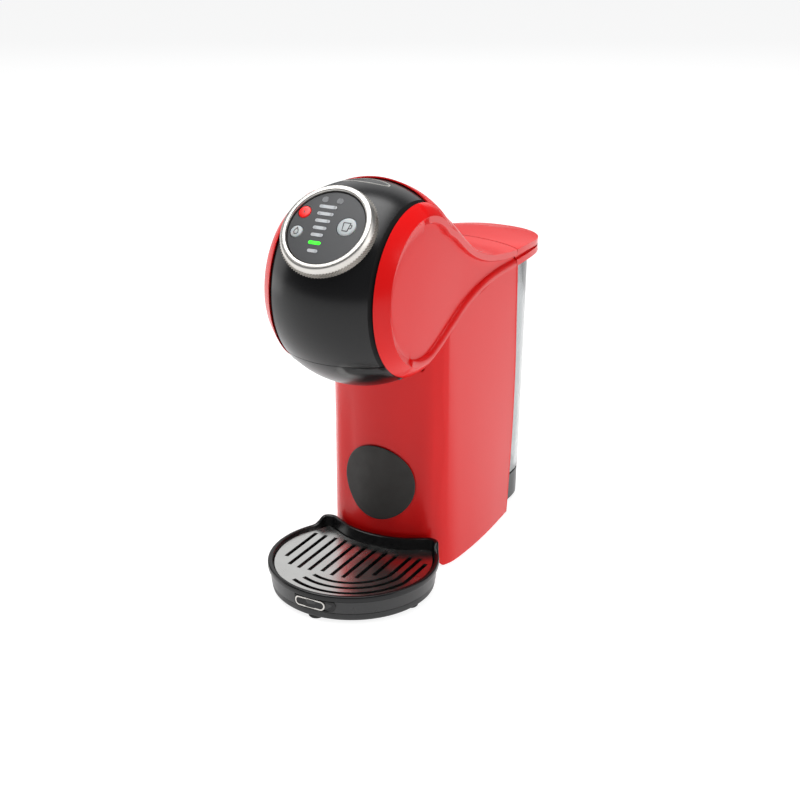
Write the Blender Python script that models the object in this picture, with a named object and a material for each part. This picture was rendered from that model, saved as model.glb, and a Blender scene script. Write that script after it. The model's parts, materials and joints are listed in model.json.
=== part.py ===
"""Pod coffee machine: a round head over a slim column, a drip tray in front and a water tank behind.

Units in this file are millimetres, turned to metres when a mesh is made.
X is across the machine, -Y is the front, Z is up, and z = 0 is the surface it stands on.
The origin is the middle of the footprint. Side-view curves are given from the head's centre, so
they hold y as a distance behind that centre.
"""

import math

import bmesh
import bpy
from mathutils import Matrix, Vector

MM = 0.001

# Head: a ball that carries the dial; everything in side view is placed from its centre.
HEAD_Y = -68.5
HEAD_Z = 206.4
MASK_R = 65.4
MASK_WALL = 2.4
MASK_HALF = 36.3
MASK_REAR_DEG = 106.4
SEAM_Z = 168.2
CAP_IN = 36.7
CAP_EDGE_R = 66.1
NECK_R = 67.2
CREST_X = 44.6
CREST_R = 47.5
PANEL_X = 42.1
PANEL_R = 42.8
LIP = 4.3
SHELL = 2.0
GAP = 0.3

# Tail: side-view crest lines behind the head and the seam to the tank lid.
TAIL_TOP = [(43.1, 234.3), (58.2, 223.4), (70.5, 216.0), (84.7, 210.0), (99.5, 205.8),
            (117.3, 202.4), (137.6, 200.0)]
TAIL_MID = [(57.0, 245.0), (70.0, 231.5), (82.0, 219.5), (94.0, 211.5), (107.0, 207.0),
            (124.0, 204.6), (144.6, 203.0)]
TAIL_LOW = [(42.1, 172.8), (56.8, 179.3), (70.5, 183.3), (84.7, 186.2), (99.5, 187.9),
            (117.3, 188.3), (137.6, 188.1)]
LID_REAR = 212.4
LID_HALF = [(44.5, 138.5), (44.2, 152.0), (43.2, 166.0), (41.0, 181.0), (36.6, 193.0),
            (29.5, 202.5), (20.0, 208.8), (10.0, 211.7)]

# Dial on the head, square to a line that rises at DIAL_DEG.
DIAL_DEG = 45.2
RING_R = 31.2
PANEL_DISC_R = 25.3
# Each button's place across the dial, up it, and its radius.
BUTTONS = {
    "hot_button": (-18.4, 8.6, 4.1),
    "cold_button": (-18.5, -5.1, 4.1),
    "size_button": (13.3, 2.3, 6.3),
}

# Column, from the head's centre: plan of one side from the middle of the front to the rear edge.
COLUMN = [(0.0, 0.0), (10.0, 0.95), (20.0, 3.9), (29.5, 8.8), (37.0, 14.6), (42.2, 21.5),
          (44.6, 31.0), (46.6, 48.0), (47.2, 68.0), (46.6, 97.0), (44.9, 127.0)]
COLUMN_FRONT = 11.0
COLUMN_REAR = 138.0
COLUMN_HOLLOW = 4.0
COLUMN_TOP_HALF = 43.3
COLUMN_TOP = 145.2
COLUMN_WALL = 2.2
DISC_Z = 62.0
DISC_R = 26.6
DISC_GAP = 0.7

# Tray, grid and base.
TRAY_Y = HEAD_Y - 18.1
TRAY_R = 57.3
TRAY_RIM = 20.7
TRAY_BACK = 26.0
BASE_R = 54.6
BASE_LOW, BASE_TOP = 2.2, 7.0

# Tank, from the head's centre: plan of one side. Its front clears the rear edge of the tail, so it lifts.
TANK_FRONT_HALF = [(0.0, 146.0), (12.0, 145.6), (24.0, 144.4), (33.0, 142.6), (37.2, 141.6)]
TANK_SIDE_HALF = [(38.8, 143.0), (39.0, 150.0), (38.4, 164.0), (36.0, 176.0), (30.5, 187.0),
                  (22.0, 195.5), (11.0, 200.4), (0.0, 201.8)]
TANK_LOW, TANK_TOP = 24.0, 186.4
TANK_WALL = 2.0
TANK_LEAN_Y = 150.0
VALVE_Y = 160.0
FOOT_FRONT_HALF = [(0.0, 134.0), (37.0, 134.0), (38.8, 136.0)]
REAR_WALL_Y = 130.0
REAR_WALL = 2.4

FINISHES = {
    "red_gloss": ((0.72, 0.012, 0.01), 0.18, 0.0),
    "black_gloss": ((0.012, 0.012, 0.013), 0.08, 0.0),
    "black_plastic": ((0.02, 0.02, 0.021), 0.45, 0.0),
    "grey_plastic": ((0.16, 0.16, 0.165), 0.5, 0.0),
    "panel_grey": ((0.05, 0.05, 0.052), 0.3, 0.0),
    "button_grey": ((0.42, 0.42, 0.42), 0.4, 0.0),
    "button_red": ((0.75, 0.01, 0.01), 0.35, 0.0),
    "chrome": ((0.72, 0.70, 0.68), 0.22, 1.0),
    "steel": ((0.6, 0.6, 0.6), 0.3, 1.0),
    "aluminium": ((0.7, 0.71, 0.72), 0.4, 1.0),
    "brass": ((0.72, 0.5, 0.2), 0.35, 1.0),
    "clear": ((0.8, 0.83, 0.85), 0.05, 0.0),
    "rubber": ((0.02, 0.02, 0.02), 0.8, 0.0),
    "silicone": ((0.75, 0.75, 0.73), 0.5, 0.0),
    "board_green": ((0.02, 0.16, 0.06), 0.5, 0.0),
}


def finish(name):
    """The material of one finish, made the first time it is asked for."""
    found = bpy.data.materials.get(name)
    if found:
        return found
    colour, rough, metal = FINISHES[name]
    made = bpy.data.materials.new(name)
    made.use_nodes = True
    shader = made.node_tree.nodes["Principled BSDF"]
    shader.inputs["Base Color"].default_value = (*colour, 1.0)
    shader.inputs["Roughness"].default_value = rough
    shader.inputs["Metallic"].default_value = metal
    return made


def empty(name, at, parent=None):
    """A joint's place, which its pieces are parented to."""
    made = bpy.data.objects.new(name, None)
    made.location = Vector(at) * MM
    if parent:
        made.location -= world(parent)
        made.parent = parent
    bpy.context.scene.collection.objects.link(made)
    return made


def world(parent):
    """Where an unturned empty stands."""
    place = Vector(parent.location)
    while parent.parent:
        parent = parent.parent
        place += parent.location
    return place


def piece(name, points, faces, look, parent=None, at=None, smooth=40):
    """One closed solid from millimetre points in the machine's frame."""
    origin = world(parent) if parent else Vector(at or (0, 0, 0)) * MM
    mesh = bpy.data.meshes.new(name)
    mesh.from_pydata([Vector(p) * MM - origin for p in points], [], faces)
    body = bmesh.new()
    body.from_mesh(mesh)
    bmesh.ops.remove_doubles(body, verts=body.verts, dist=1e-6)
    bmesh.ops.recalc_face_normals(body, faces=body.faces)
    body.to_mesh(mesh)
    body.free()
    mesh.shade_smooth()
    mesh.set_sharp_from_angle(angle=math.radians(smooth))
    made = bpy.data.objects.new(name, mesh)
    made.data.materials.append(finish(look))
    if parent:
        made.parent = parent
    else:
        made.location = origin
    bpy.context.scene.collection.objects.link(made)
    return made


def boolean(target, tool, operation="DIFFERENCE"):
    """Cuts or joins a helper solid, which is left out of the model."""
    tool.hide_render = True
    tool.display_type = "WIRE"
    step = target.modifiers.new(tool.name, "BOOLEAN")
    step.operation = operation
    step.object = tool
    step.solver = "EXACT"


def helper(points, faces, parent=None):
    """A solid used only to cut or join another."""
    made = piece("tool", points, faces, "grey_plastic", parent)
    made.hide_render = True
    made.display_type = "WIRE"
    return made


def circle(radius, count):
    turns = [math.tau * k / count for k in range(count)]
    return [(radius * math.cos(a), radius * math.sin(a)) for a in turns]


def lathe(profile, count, place=Matrix()):
    """A closed (radius, height) profile turned about Z, then placed. Radius 0 is a pole."""
    points, rings = [], []
    for radius, height in profile:
        if radius == 0:
            rings.append([len(points)] * count)
            points.append(place @ Vector((0, 0, height)))
        else:
            rings.append(list(range(len(points), len(points) + count)))
            points += [place @ Vector((x, y, height)) for x, y in circle(radius, count)]
    faces = []
    pairs = list(zip(rings, rings[1:] + rings[:1]))
    if profile[0][0] == 0 and profile[-1][0] == 0:
        pairs.pop()
    for low, high in pairs:
        for k in range(count):
            face = [low[k], low[(k + 1) % count], high[(k + 1) % count], high[k]]
            face = [v for n, v in enumerate(face) if v not in face[:n]]
            if len(face) > 2:
                faces.append(face)
    return points, faces


def prism(outline, low, high, place=Matrix()):
    """An outline in XY drawn out along Z, then placed."""
    count = len(outline)
    points = [place @ Vector((x, y, z)) for z in (low, high) for x, y in outline]
    faces = [list(range(count)), list(range(count, 2 * count))]
    faces += [[k, (k + 1) % count, count + (k + 1) % count, count + k] for k in range(count)]
    return points, faces


def side_prism(outline, low, high):
    """An outline of (y, z) drawn out along X."""
    return prism(outline, low, high, Matrix(((0, 0, 1, 0), (1, 0, 0, 0), (0, 1, 0, 0), (0, 0, 0, 1))))


def box(x, y, z):
    return prism([(x[0], y[0]), (x[1], y[0]), (x[1], y[1]), (x[0], y[1])], z[0], z[1])


def stack(loops):
    """Loops of equal count joined one to the next, with both ends capped."""
    count = len(loops[0])
    points = [p for loop in loops for p in loop]
    faces = []
    for n in range(len(loops) - 1):
        for k in range(count):
            j = (k + 1) % count
            faces.append([n * count + k, n * count + j, (n + 1) * count + j, (n + 1) * count + k])
    faces += [list(range(count)), list(range((len(loops) - 1) * count, len(loops) * count))]
    return points, faces


def thick(outer, inner, faces):
    """A closed wall between two copies of one open surface."""
    count = len(outer)
    seen = {}
    for face in faces:
        for a, b in zip(face, face[1:] + face[:1]):
            seen.setdefault(frozenset((a, b)), []).append((a, b))
    rims = [ends[0] for ends in seen.values() if len(ends) == 1]
    every = list(faces) + [[count + v for v in reversed(face)] for face in faces]
    every += [[b, a, count + a, count + b] for a, b in rims]
    return list(outer) + list(inner), every


def between(table, at):
    """Straight-line reading of a list of (key, value) pairs, held at its ends."""
    if at <= table[0][0]:
        return table[0][1]
    for (k0, v0), (k1, v1) in zip(table, table[1:]):
        if at <= k1:
            return v0 + (v1 - v0) * (at - k0) / (k1 - k0)
    return table[-1][1]


def ease(low, high, at):
    t = min(1.0, max(0.0, (at - low) / (high - low)))
    return t * t * (3 - 2 * t)


def on_head(radius, degrees):
    """(y, z) at an angle about the head's cross axis: 0 is forward, 90 is up."""
    a = math.radians(degrees)
    return -radius * math.cos(a), HEAD_Z + radius * math.sin(a)


class Skin:
    """An open surface built with its inner copy, point by point, then closed as a wall."""

    def __init__(self):
        self.outer, self.inner, self.faces, self.known = [], [], [], {}

    def point(self, outer, inner):
        key = tuple(round(c, 3) for c in outer)
        if key not in self.known:
            self.known[key] = len(self.outer)
            self.outer.append(outer)
            self.inner.append(inner)
        return self.known[key]

    def face(self, corners):
        kept = [c for n, c in enumerate(corners) if c not in corners[:n]]
        if len(kept) > 2:
            self.faces.append(kept)

    def strip(self, row, other):
        for a, b, c, d in zip(row, row[1:], other[1:], other):
            self.face([a, b, c, d])

    def wall(self):
        return thick(self.outer, self.inner, self.faces)


def inset(outline, distance):
    """A closed outline moved inwards (it runs anticlockwise)."""
    moved = []
    for k, (x, y) in enumerate(outline):
        (x0, y0), (x1, y1) = outline[k - 1], outline[(k + 1) % len(outline)]
        normals = [Vector((y0 - y, x - x0)).normalized(), Vector((y - y1, x1 - x)).normalized()]
        push = (normals[0] + normals[1]).normalized()
        reach = distance / max(0.5, push.dot(normals[0]))
        moved.append((x + push.x * reach, y + push.y * reach))
    return moved


def mirrored(half):
    """A closed anticlockwise outline from its right half, which runs from the front to the back."""
    left = [(-x, y) for x, y in reversed(half) if x > 0.01]
    return half + left


# ---- the round head and the red shells ----

def crown(t):
    """How far a cross-section has risen from the crest to the middle."""
    return (1 - min(1.0, t * t)) ** 0.74


def band_r(x, edge_r):
    """Radius of the cap's rounded band about the cross axis, from its crest to its inner edge."""
    crest_ball = math.hypot(CREST_X, CREST_R)
    ball = edge_r + (crest_ball - edge_r) * (x - CAP_IN) / (CREST_X - CAP_IN)
    return math.sqrt(ball * ball - x * x)


BAND = [(CREST_X, 40.2, 0.9), (42.0, 39.9, 1.7), (39.4, 38.6, 2.0), (CAP_IN, CAP_IN, 2.0)]
TOP_X = [27.0, 18.0, 9.0, 0.0]
NECK_DEG = [136, 126, 116, 107]
FRONT_DEG = [85, 65, 45, 25]
LOW_DEG = [-103, -85, -65, -45, -25]
LOW_NEAR = [(34.5, 169.7), (27.0, 166.3), (19.5, 163.3)]
LOW_TABLE = [(0.0, 158.9), (10.0, 160.1), *reversed(LOW_NEAR), *TAIL_LOW]


def under_z(x, y):
    """Underside of the cap's band behind the lip, easing up to the crest line."""
    drop = band_r(min(CREST_X, max(CAP_IN, x)), CAP_EDGE_R) - CREST_R
    return between(LOW_TABLE, y) - drop * (1 - ease(12.0, 34.0, y))


def crest_points():
    """Crest stations from the tail over the head to the tail again, in pairs about the front one."""
    upper = [("tail", *TAIL_TOP[k], TAIL_MID[k]) for k in reversed(range(len(TAIL_TOP)))]
    upper += [("neck", *on_head(CREST_R, d), d) for d in NECK_DEG]
    upper += [("band", *on_head(CREST_R, d), d) for d in FRONT_DEG]
    lower = [("low", *point, None) for point in reversed(TAIL_LOW)]
    lower += [("low", *point, None) for point in LOW_NEAR]
    lower += [("band", *on_head(CREST_R, d), d) for d in LOW_DEG]
    return upper, [("band", *on_head(CREST_R, 0), 0)], lower


def lip_point(stations, k):
    """The lip's inner edge beside crest station k: its (x, y, z)."""
    kind, y, z, extra = stations[k]
    if kind in ("band", "neck"):
        return (PANEL_X, *on_head(PANEL_R, extra))
    (y0, z0), (y1, z1) = stations[max(0, k - 1)][1:3], stations[min(len(stations) - 1, k + 1)][1:3]
    along = Vector((y1 - y0, z1 - z0)).normalized()
    return (44.2, y - along.y * LIP, z + along.x * LIP)


def upper_housing():
    """Red housing: both round caps of the head, the neck over the mask and the tail, in one wall."""
    upper, front, lower = crest_points()
    loop = upper + front + lower[::-1]
    skin = Skin()
    side_x = PANEL_X - SHELL
    rows = []
    lips = [lip_point(loop, k) for k in range(len(loop))]
    for k, (kind, y, z, extra) in enumerate(loop):
        pair = lips[len(loop) - 1 - k]
        middle = (PANEL_X, (lips[k][1] + pair[1]) / 2, (lips[k][2] + pair[2]) / 2)
        if k == len(upper):
            middle = lips[k]
        row = {1: [], -1: []}
        for side in (1, -1):
            def add(outer, inner):
                outer = (side * outer[0], outer[1] + HEAD_Y, outer[2])
                inner = (side * inner[0], inner[1] + HEAD_Y, inner[2])
                row[side].append(skin.point(outer, inner))
            add(middle, (side_x, middle[1], middle[2]))
            add(lips[k], (side_x, lips[k][1], lips[k][2]))
            for n, (x, inner_x, depth) in enumerate(BAND):
                if kind == "low" and y > 30:
                    step = (0.0, 0.6, 1.2, 1.8)[n]
                    add((CREST_X - step, y, z), (side_x, y, z + 1.6 - 0.4 * n))
                elif kind == "low":
                    add((x, y, under_z(x, y)), (inner_x, y, under_z(x, y) + depth))
                elif kind == "tail":
                    rise = crown(x / CREST_X)
                    at = (y + (extra[0] - y) * rise, z + (extra[1] - z) * rise)
                    add((x, *at), (inner_x, at[0], at[1] - 2.2))
                else:
                    edge = NECK_R if kind == "neck" else CAP_EDGE_R
                    reach = band_r(x, edge)
                    clear = 1.15 if kind == "neck" and n == 3 else depth
                    add((x, *on_head(reach, extra)), (inner_x, *on_head(reach - clear, extra)))
            for x in TOP_X if kind in ("tail", "neck") else []:
                rise = crown(x / CREST_X)
                if kind == "tail":
                    at = (y + (extra[0] - y) * rise, z + (extra[1] - z) * rise)
                    add((x, *at), (x, at[0], at[1] - 2.2))
                else:
                    add((x, *on_head(math.sqrt(NECK_R ** 2 - x * x), extra)),
                        (x, *on_head(math.sqrt((NECK_R - 1.15) ** 2 - x * x), extra)))
        rows.append(row)
    for row, other in zip(rows, rows[1:]):
        skin.strip(row[1], other[1])
        skin.strip(other[-1], row[-1])
    return piece("upper_housing", *skin.wall(), "red_gloss")


def column_y(x, z):
    """Front face of the column, from the head's centre, at a place across it."""
    hollow = COLUMN_HOLLOW * math.sin(math.pi * min(1.0, z / 146.0))
    return COLUMN_FRONT + between(COLUMN, abs(x)) + hollow * (1 - ease(20.0, 38.0, abs(x)))


def column_rear(z):
    return 129.2 + 11.0 * math.sin(math.pi / 2 * min(1.0, z / 130.0))


def column_shell():
    """Red column: the front and both sides in one wall, up to the crest line of the tail."""
    skin = Skin()
    half = COLUMN[1:] + [(44.4, COLUMN_REAR - COLUMN_FRONT)]
    path = [(-x, y) for x, y in reversed(half)] + [(0.0, 0.0)] + half
    rows = []
    for part in (0.0, 0.05, 0.16, 0.34, 0.55, 0.76, 0.9, 1.0):
        row = []
        for x, y in path:
            across = abs(x)
            y += COLUMN_FRONT
            top = COLUMN_TOP
            if across >= CAP_IN:
                top = under_z(across, y) - 0.5 - 1.5 * (1 - ease(34.0, 50.0, y))
            low = 7.4 if across < 42.3 else 1.2
            z = low + (top - low) * part
            if across < 40:
                y = column_y(x, z)
            y += (column_rear(z) - COLUMN_REAR) * ease(60.0, COLUMN_REAR, y)
            narrow = max(0.0, across - COLUMN_TOP_HALF) * min(1.0, z / 165.0)
            side = math.copysign(1.0, x)
            slope = max(0.0, min(1.0, (across - 6.0) / 34.0))
            inner = (x - side * COLUMN_WALL * slope, y + HEAD_Y + COLUMN_WALL * (1 - slope ** 3), z)
            if across > 44:
                inner = (x - side * COLUMN_WALL, y + HEAD_Y, z)
            outer = (x - side * narrow, y + HEAD_Y, z)
            row.append(skin.point(outer, (inner[0] - side * narrow, *inner[1:])))
        rows.append(row)
    for row, other in zip(rows, rows[1:]):
        skin.strip(row, other)
    return piece("column_shell", *skin.wall(), "red_gloss")


def column_disc():
    """Dark round pad on the column's front, following its curve."""
    skin = Skin()
    rings = []
    for share in (0.0, 0.25, 0.5, 0.75, 1.0):
        ring = []
        for x, z in circle(DISC_R * share, 22):
            y = column_y(x, DISC_Z + z) + HEAD_Y - DISC_GAP
            ring.append(skin.point((x, y - 0.8, DISC_Z + z), (x, y, DISC_Z + z)))
        rings.append(ring + ring[:1])
    for ring, other in zip(rings, rings[1:]):
        skin.strip(ring, other)
    return piece("column_disc", *skin.wall(), "grey_plastic")


def tank_lid():
    """Red lid that ends the tail, with the same lips and groove."""
    skin = Skin()
    path = LID_HALF + [(0.0, LID_REAR)] + [(-x, y) for x, y in reversed(LID_HALF)]
    rows = []
    for x, y in path:
        back = ease(138.0, LID_REAR, y)
        crest, low = 200.0 - 4.6 * back, 188.1 - 1.6 * back
        spine_y = 145.6 + 45.0 * back
        spine_z = 203.0 - 4.0 * back
        centre = Vector((0.0, 150.0 + 20.0 * back))
        inward = (centre - Vector((x, y))).normalized()
        row = []

        def add(reach, z, inner_reach, inner_z):
            spot = Vector((x, y)) + inward * reach
            inner = Vector((x, y)) + inward * inner_reach
            floor = max(inner.y, 140.6 if abs(inner.x) > 20 else 146.0)
            row.append(skin.point((spot.x, spot.y + HEAD_Y, z), (inner.x, floor + HEAD_Y, inner_z)))
        for share in (0.0, 0.35, 0.7):
            at = Vector((x * share, y + (spine_y - y) * crown(share)))
            z = crest + (spine_z - crest) * crown(share)
            row.append(skin.point((at.x, at.y + HEAD_Y, z), (at.x, max(at.y, 140.6) + HEAD_Y, z - SHELL)))
        add(0.0, crest, 4.4, crest - 2.0)
        add(0.4, crest - 4.2, 4.4, crest - 4.2)
        add(2.2, (crest + low) / 2, 4.4, (crest + low) / 2)
        add(0.4, low + 4.2, 4.4, low + 3.0)
        add(0.0, low, 4.4, low)
        rows.append(row)
    for row, other in zip(rows, rows[1:]):
        skin.strip(row, other)
    return piece("tank_lid", *skin.wall(), "red_gloss", parent=JOINTS["lid"])


# ---- the handle: mask, dial and buttons ----

def dial_place(x=0.0, up=0.0):
    """A frame whose Z leaves the head through the dial, with its origin at the head's centre."""
    turn = Matrix.Rotation(math.radians(90 - DIAL_DEG), 4, "X")
    return Matrix.Translation((0, HEAD_Y, HEAD_Z)) @ turn @ Matrix.Translation((x, up, 0))


def handle_mask():
    """Glossy black front of the head, which lifts as the locking handle."""
    skin = Skin()
    rows = []
    for n in range(17):
        share = n / 16
        row = []
        for k in range(13):
            x = MASK_HALF * (2 * k / 12 - 1)
            pair = []
            for radius in (MASK_R, MASK_R - MASK_WALL):
                reach = math.sqrt(radius ** 2 - x * x)
                low = -math.degrees(math.asin((HEAD_Z - SEAM_Z) / reach))
                y, z = on_head(reach, low + (MASK_REAR_DEG - low) * share)
                pair.append((x, y + HEAD_Y, z))
            row.append(skin.point(*pair))
        rows.append(row)
    for row, other in zip(rows, rows[1:]):
        skin.strip(row, other)
    mask = piece("handle_mask", *skin.wall(), "black_gloss", parent=JOINTS["handle"], smooth=60)
    hole = [(0, 40), (28.1, 40), (28.1, 80), (0, 80)]
    boolean(mask, helper(*lathe(hole, 40, dial_place()), JOINTS["handle"]))
    return mask


def selector_ring():
    """Knurled chrome ring that turns about the dial's axis."""
    profile = [(25.8, 52.0), (27.6, 52.0), (27.6, 59.8), (29.4, 59.0), (30.8, 58.0), (RING_R, 58.4),
               (RING_R, 60.6), (29.5, 66.2), (28.4, 67.0), (26.6, 67.0), (25.8, 66.4)]
    ring = lathe(profile, 36, dial_place())
    return piece("selector_ring", *ring, "chrome", parent=JOINTS["ring"], smooth=30)


def control_panel():
    """Dark round panel inside the ring, with three round holes for the buttons."""
    profile = [(0, 65.2), (PANEL_DISC_R, 65.2), (PANEL_DISC_R, 51.0), (23.5, 51.0), (23.5, 63.2), (0, 63.2)]
    panel = piece("control_panel", *lathe(profile, 40, dial_place()), "panel_grey", parent=JOINTS["handle"])
    for x, up, radius in BUTTONS.values():
        hole = [(0, 60.4), (radius + GAP, 60.4), (radius + GAP, 68.0), (0, 68.0)]
        boolean(panel, helper(*lathe(hole, 20, dial_place(x, up)), JOINTS["handle"]))
    return panel


def buttons():
    """Three push buttons, each with its own travel."""
    for name, (x, up, radius) in BUTTONS.items():
        profile = [(0, 65.7), (radius - 0.9, 65.6), (radius, 65.1), (radius, 61.5), (0, 61.5)]
        look = "button_red" if name == "hot_button" else "button_grey"
        piece(name, *lathe(profile, 20, dial_place(x, up)), look, parent=JOINTS[name])


def handle_inner():
    """Frame of the handle with its pivot eyes, and the board and rubber pad behind the panel."""
    frame = piece("handle_frame", *lathe([(0, 46.0), (29.0, 46.0), (29.0, 49.0), (0, 49.0)], 28, dial_place()),
                  "black_plastic", parent=JOINTS["handle"])
    arm = [(-9.0, -6.0), (-9.0, 8.0), (-33.0, 36.0), (-20.0, 43.0), (10.0, 10.0), (10.0, -6.0),
           (5.0, -10.0), (-5.0, -10.0)]
    for side in (1, -1):
        outline = [(y + HEAD_Y, z + HEAD_Z) for y, z in arm]
        low, high = sorted((side * 33.2, side * 36.0))
        boolean(frame, helper(*side_prism(outline, low, high), JOINTS["handle"]), "UNION")
        low, high = sorted((side * 22.0, side * 35.0))
        bar = [(low, -8.0), (high, -8.0), (high, 8.0), (low, 8.0)]
        boolean(frame, helper(*prism(bar, 41.0, 48.0, dial_place()), JOINTS["handle"]), "UNION")
    eye = lathe([(0, -40), (4.4, -40), (4.4, 40), (0, 40)], 20,
                Matrix.Translation((0, HEAD_Y, HEAD_Z)) @ Matrix.Rotation(math.pi / 2, 4, "Y"))
    boolean(frame, helper(*eye, JOINTS["handle"]))
    piece("panel_board", *lathe([(0, 54.6), (22.8, 54.6), (22.8, 56.2), (0, 56.2)], 24, dial_place()),
          "board_green", parent=JOINTS["handle"])
    piece("button_pad", *lathe([(0, 58.4), (22.8, 58.4), (22.8, 60.0), (0, 60.0)], 24, dial_place()),
          "silicone", parent=JOINTS["handle"])


def axle_pins():
    """Steel pins that the handle turns on, set in the caps."""
    for name, side in (("axle_pin_right", 1), ("axle_pin_left", -1)):
        place = Matrix.Translation((side * 33.0, HEAD_Y, HEAD_Z)) @ Matrix.Rotation(side * math.pi / 2, 4, "Y")
        pin = [(0, 0), (4.0, 0), (4.0, 3.6), (6.5, 3.6), (6.5, 6.7), (0, 6.7)]
        piece(name, *lathe(pin, 20, place), "steel")


# ---- brewing ----

POD_Y = HEAD_Y - 12.0


def capsule_holder():
    """Sliding drawer: the head's lower lip in front, and the seat for a pod behind it."""
    loops = []
    for z in (150.0, 153.5, 158.0, 163.0, SEAM_Z - 0.4):
        ring = math.sqrt(MASK_R ** 2 - (HEAD_Z - z) ** 2)
        side = min(MASK_HALF - 0.1, math.sqrt(ring ** 2 - 19.5 ** 2))
        wide = min(side - 0.4, math.sqrt(ring ** 2 - 20.5 ** 2))
        arc = [wide * (2 * k / 14 - 1) for k in range(15)]
        loop = [(x, HEAD_Y - math.sqrt(ring ** 2 - x * x), z) for x in arc]
        loops.append([(-side, HEAD_Y - 19.5, z)] + loop + [(side, HEAD_Y - 19.5, z)])
    holder = piece("capsule_holder", *stack(loops), "black_gloss", parent=JOINTS["holder"])
    group = JOINTS["holder"]
    seat = box((-30.4, 30.4), (HEAD_Y - 26.0, HEAD_Y + 17.0), (150.6, 163.4))
    boolean(holder, helper(*seat, group), "UNION")
    at = Matrix.Translation((0, POD_Y, 0))
    boss = [(0, 146.3), (17.0, 146.3), (21.0, 148.6), (21.0, 152.0), (0, 152.0)]
    boolean(holder, helper(*lathe(boss, 28, at), group), "UNION")
    seat_hole = [(0, 155.5), (24.5, 155.5), (24.5, 175.0), (0, 175.0)]
    boolean(holder, helper(*lathe(seat_hole, 32, at), group))
    outlet = [(0, 140.0), (4.3, 140.0), (4.3, 160.0), (0, 160.0)]
    boolean(holder, helper(*lathe(outlet, 16, at), group))
    nozzle = [(2.2, 142.2), (3.2, 142.2), (4.0, 146.0), (4.0, 155.0), (2.6, 155.0)]
    piece("holder_nozzle", *lathe(nozzle, 16, at), "steel", parent=group)


def brew_parts():
    """Rails for the drawer, the brewing head over it, and the needle that the handle lowers."""
    rail = [(31.2, -19.0), (35.6, -19.0), (35.6, 20.0), (30.0, 24.0), (-30.0, 24.0), (-35.6, 20.0),
            (-35.6, -19.0), (-31.2, -19.0), (-31.2, 18.0), (31.2, 18.0)]
    piece("holder_guide", *prism([(x, y + HEAD_Y) for x, y in rail], 153.0, 166.8), "black_plastic")
    block = [(-28.0, -36.0), (28.0, -36.0), (28.0, 14.0), (-28.0, 14.0)]
    head = piece("brew_head", *prism([(x, y + HEAD_Y) for x, y in block], 173.0, 190.0), "black_plastic")
    at = Matrix.Translation((0, POD_Y, 0))
    boolean(head, helper(*lathe([(0, 170), (10.4, 170), (10.4, 195), (0, 195)], 24, at)))
    needle = [(0, 168.3), (1.4, 172.0), (1.4, 174.5), (10.0, 174.5), (10.0, 196.0), (0, 196.0)]
    piece("injector_needle", *lathe(needle, 24, at), "steel", parent=JOINTS["injector"])
    seal = [(4.0, 172.2), (9.0, 172.2), (9.0, 174.2), (4.0, 174.2)]
    piece("injector_seal", *lathe(seal, 24, at), "silicone", parent=JOINTS["injector"])


# ---- inside the column ----

HOSE_R = 2.6


def hose(name, stops):
    """A clipped hose along a smooth curve through its stops, which are from the head's centre."""
    run = [Vector((x, y + HEAD_Y, z)) for x, y, z in stops]
    points = []
    for k in range(len(run) - 1):
        before, after = run[max(0, k - 1)], run[min(len(run) - 1, k + 2)]
        for n in range(4):
            t = n / 4
            a, b = (run[k + 1] - before) / 2, (after - run[k]) / 2
            near = run[k] * (2 * t ** 3 - 3 * t ** 2 + 1) + a * (t ** 3 - 2 * t ** 2 + t)
            points.append(near + run[k + 1] * (3 * t ** 2 - 2 * t ** 3) + b * (t ** 3 - t ** 2))
    points.append(run[-1])
    curve = bpy.data.curves.new(name, "CURVE")
    curve.dimensions = "3D"
    spline = curve.splines.new("POLY")
    spline.points.add(len(points) - 1)
    for spot, p in zip(spline.points, points):
        spot.co = (*(p * MM), 1.0)
    curve.bevel_depth = HOSE_R * MM
    curve.bevel_resolution = 2
    curve.use_fill_caps = True
    curve.materials.append(finish("silicone"))
    made = bpy.data.objects.new(name, curve)
    bpy.context.scene.collection.objects.link(made)


def chassis():
    """Inner frame: floor, upright and the deck under the heater, bent from one profile."""
    outline = [(34.0, 7.4), (120.0, 7.4), (120.0, 10.0), (38.0, 10.0), (38.0, 168.0), (76.0, 168.0),
               (76.0, 170.6), (35.4, 170.6), (35.4, 10.0), (34.0, 10.0)]
    piece("chassis", *side_prism([(y + HEAD_Y, z) for y, z in outline], -33.0, 33.0), "grey_plastic")


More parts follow.
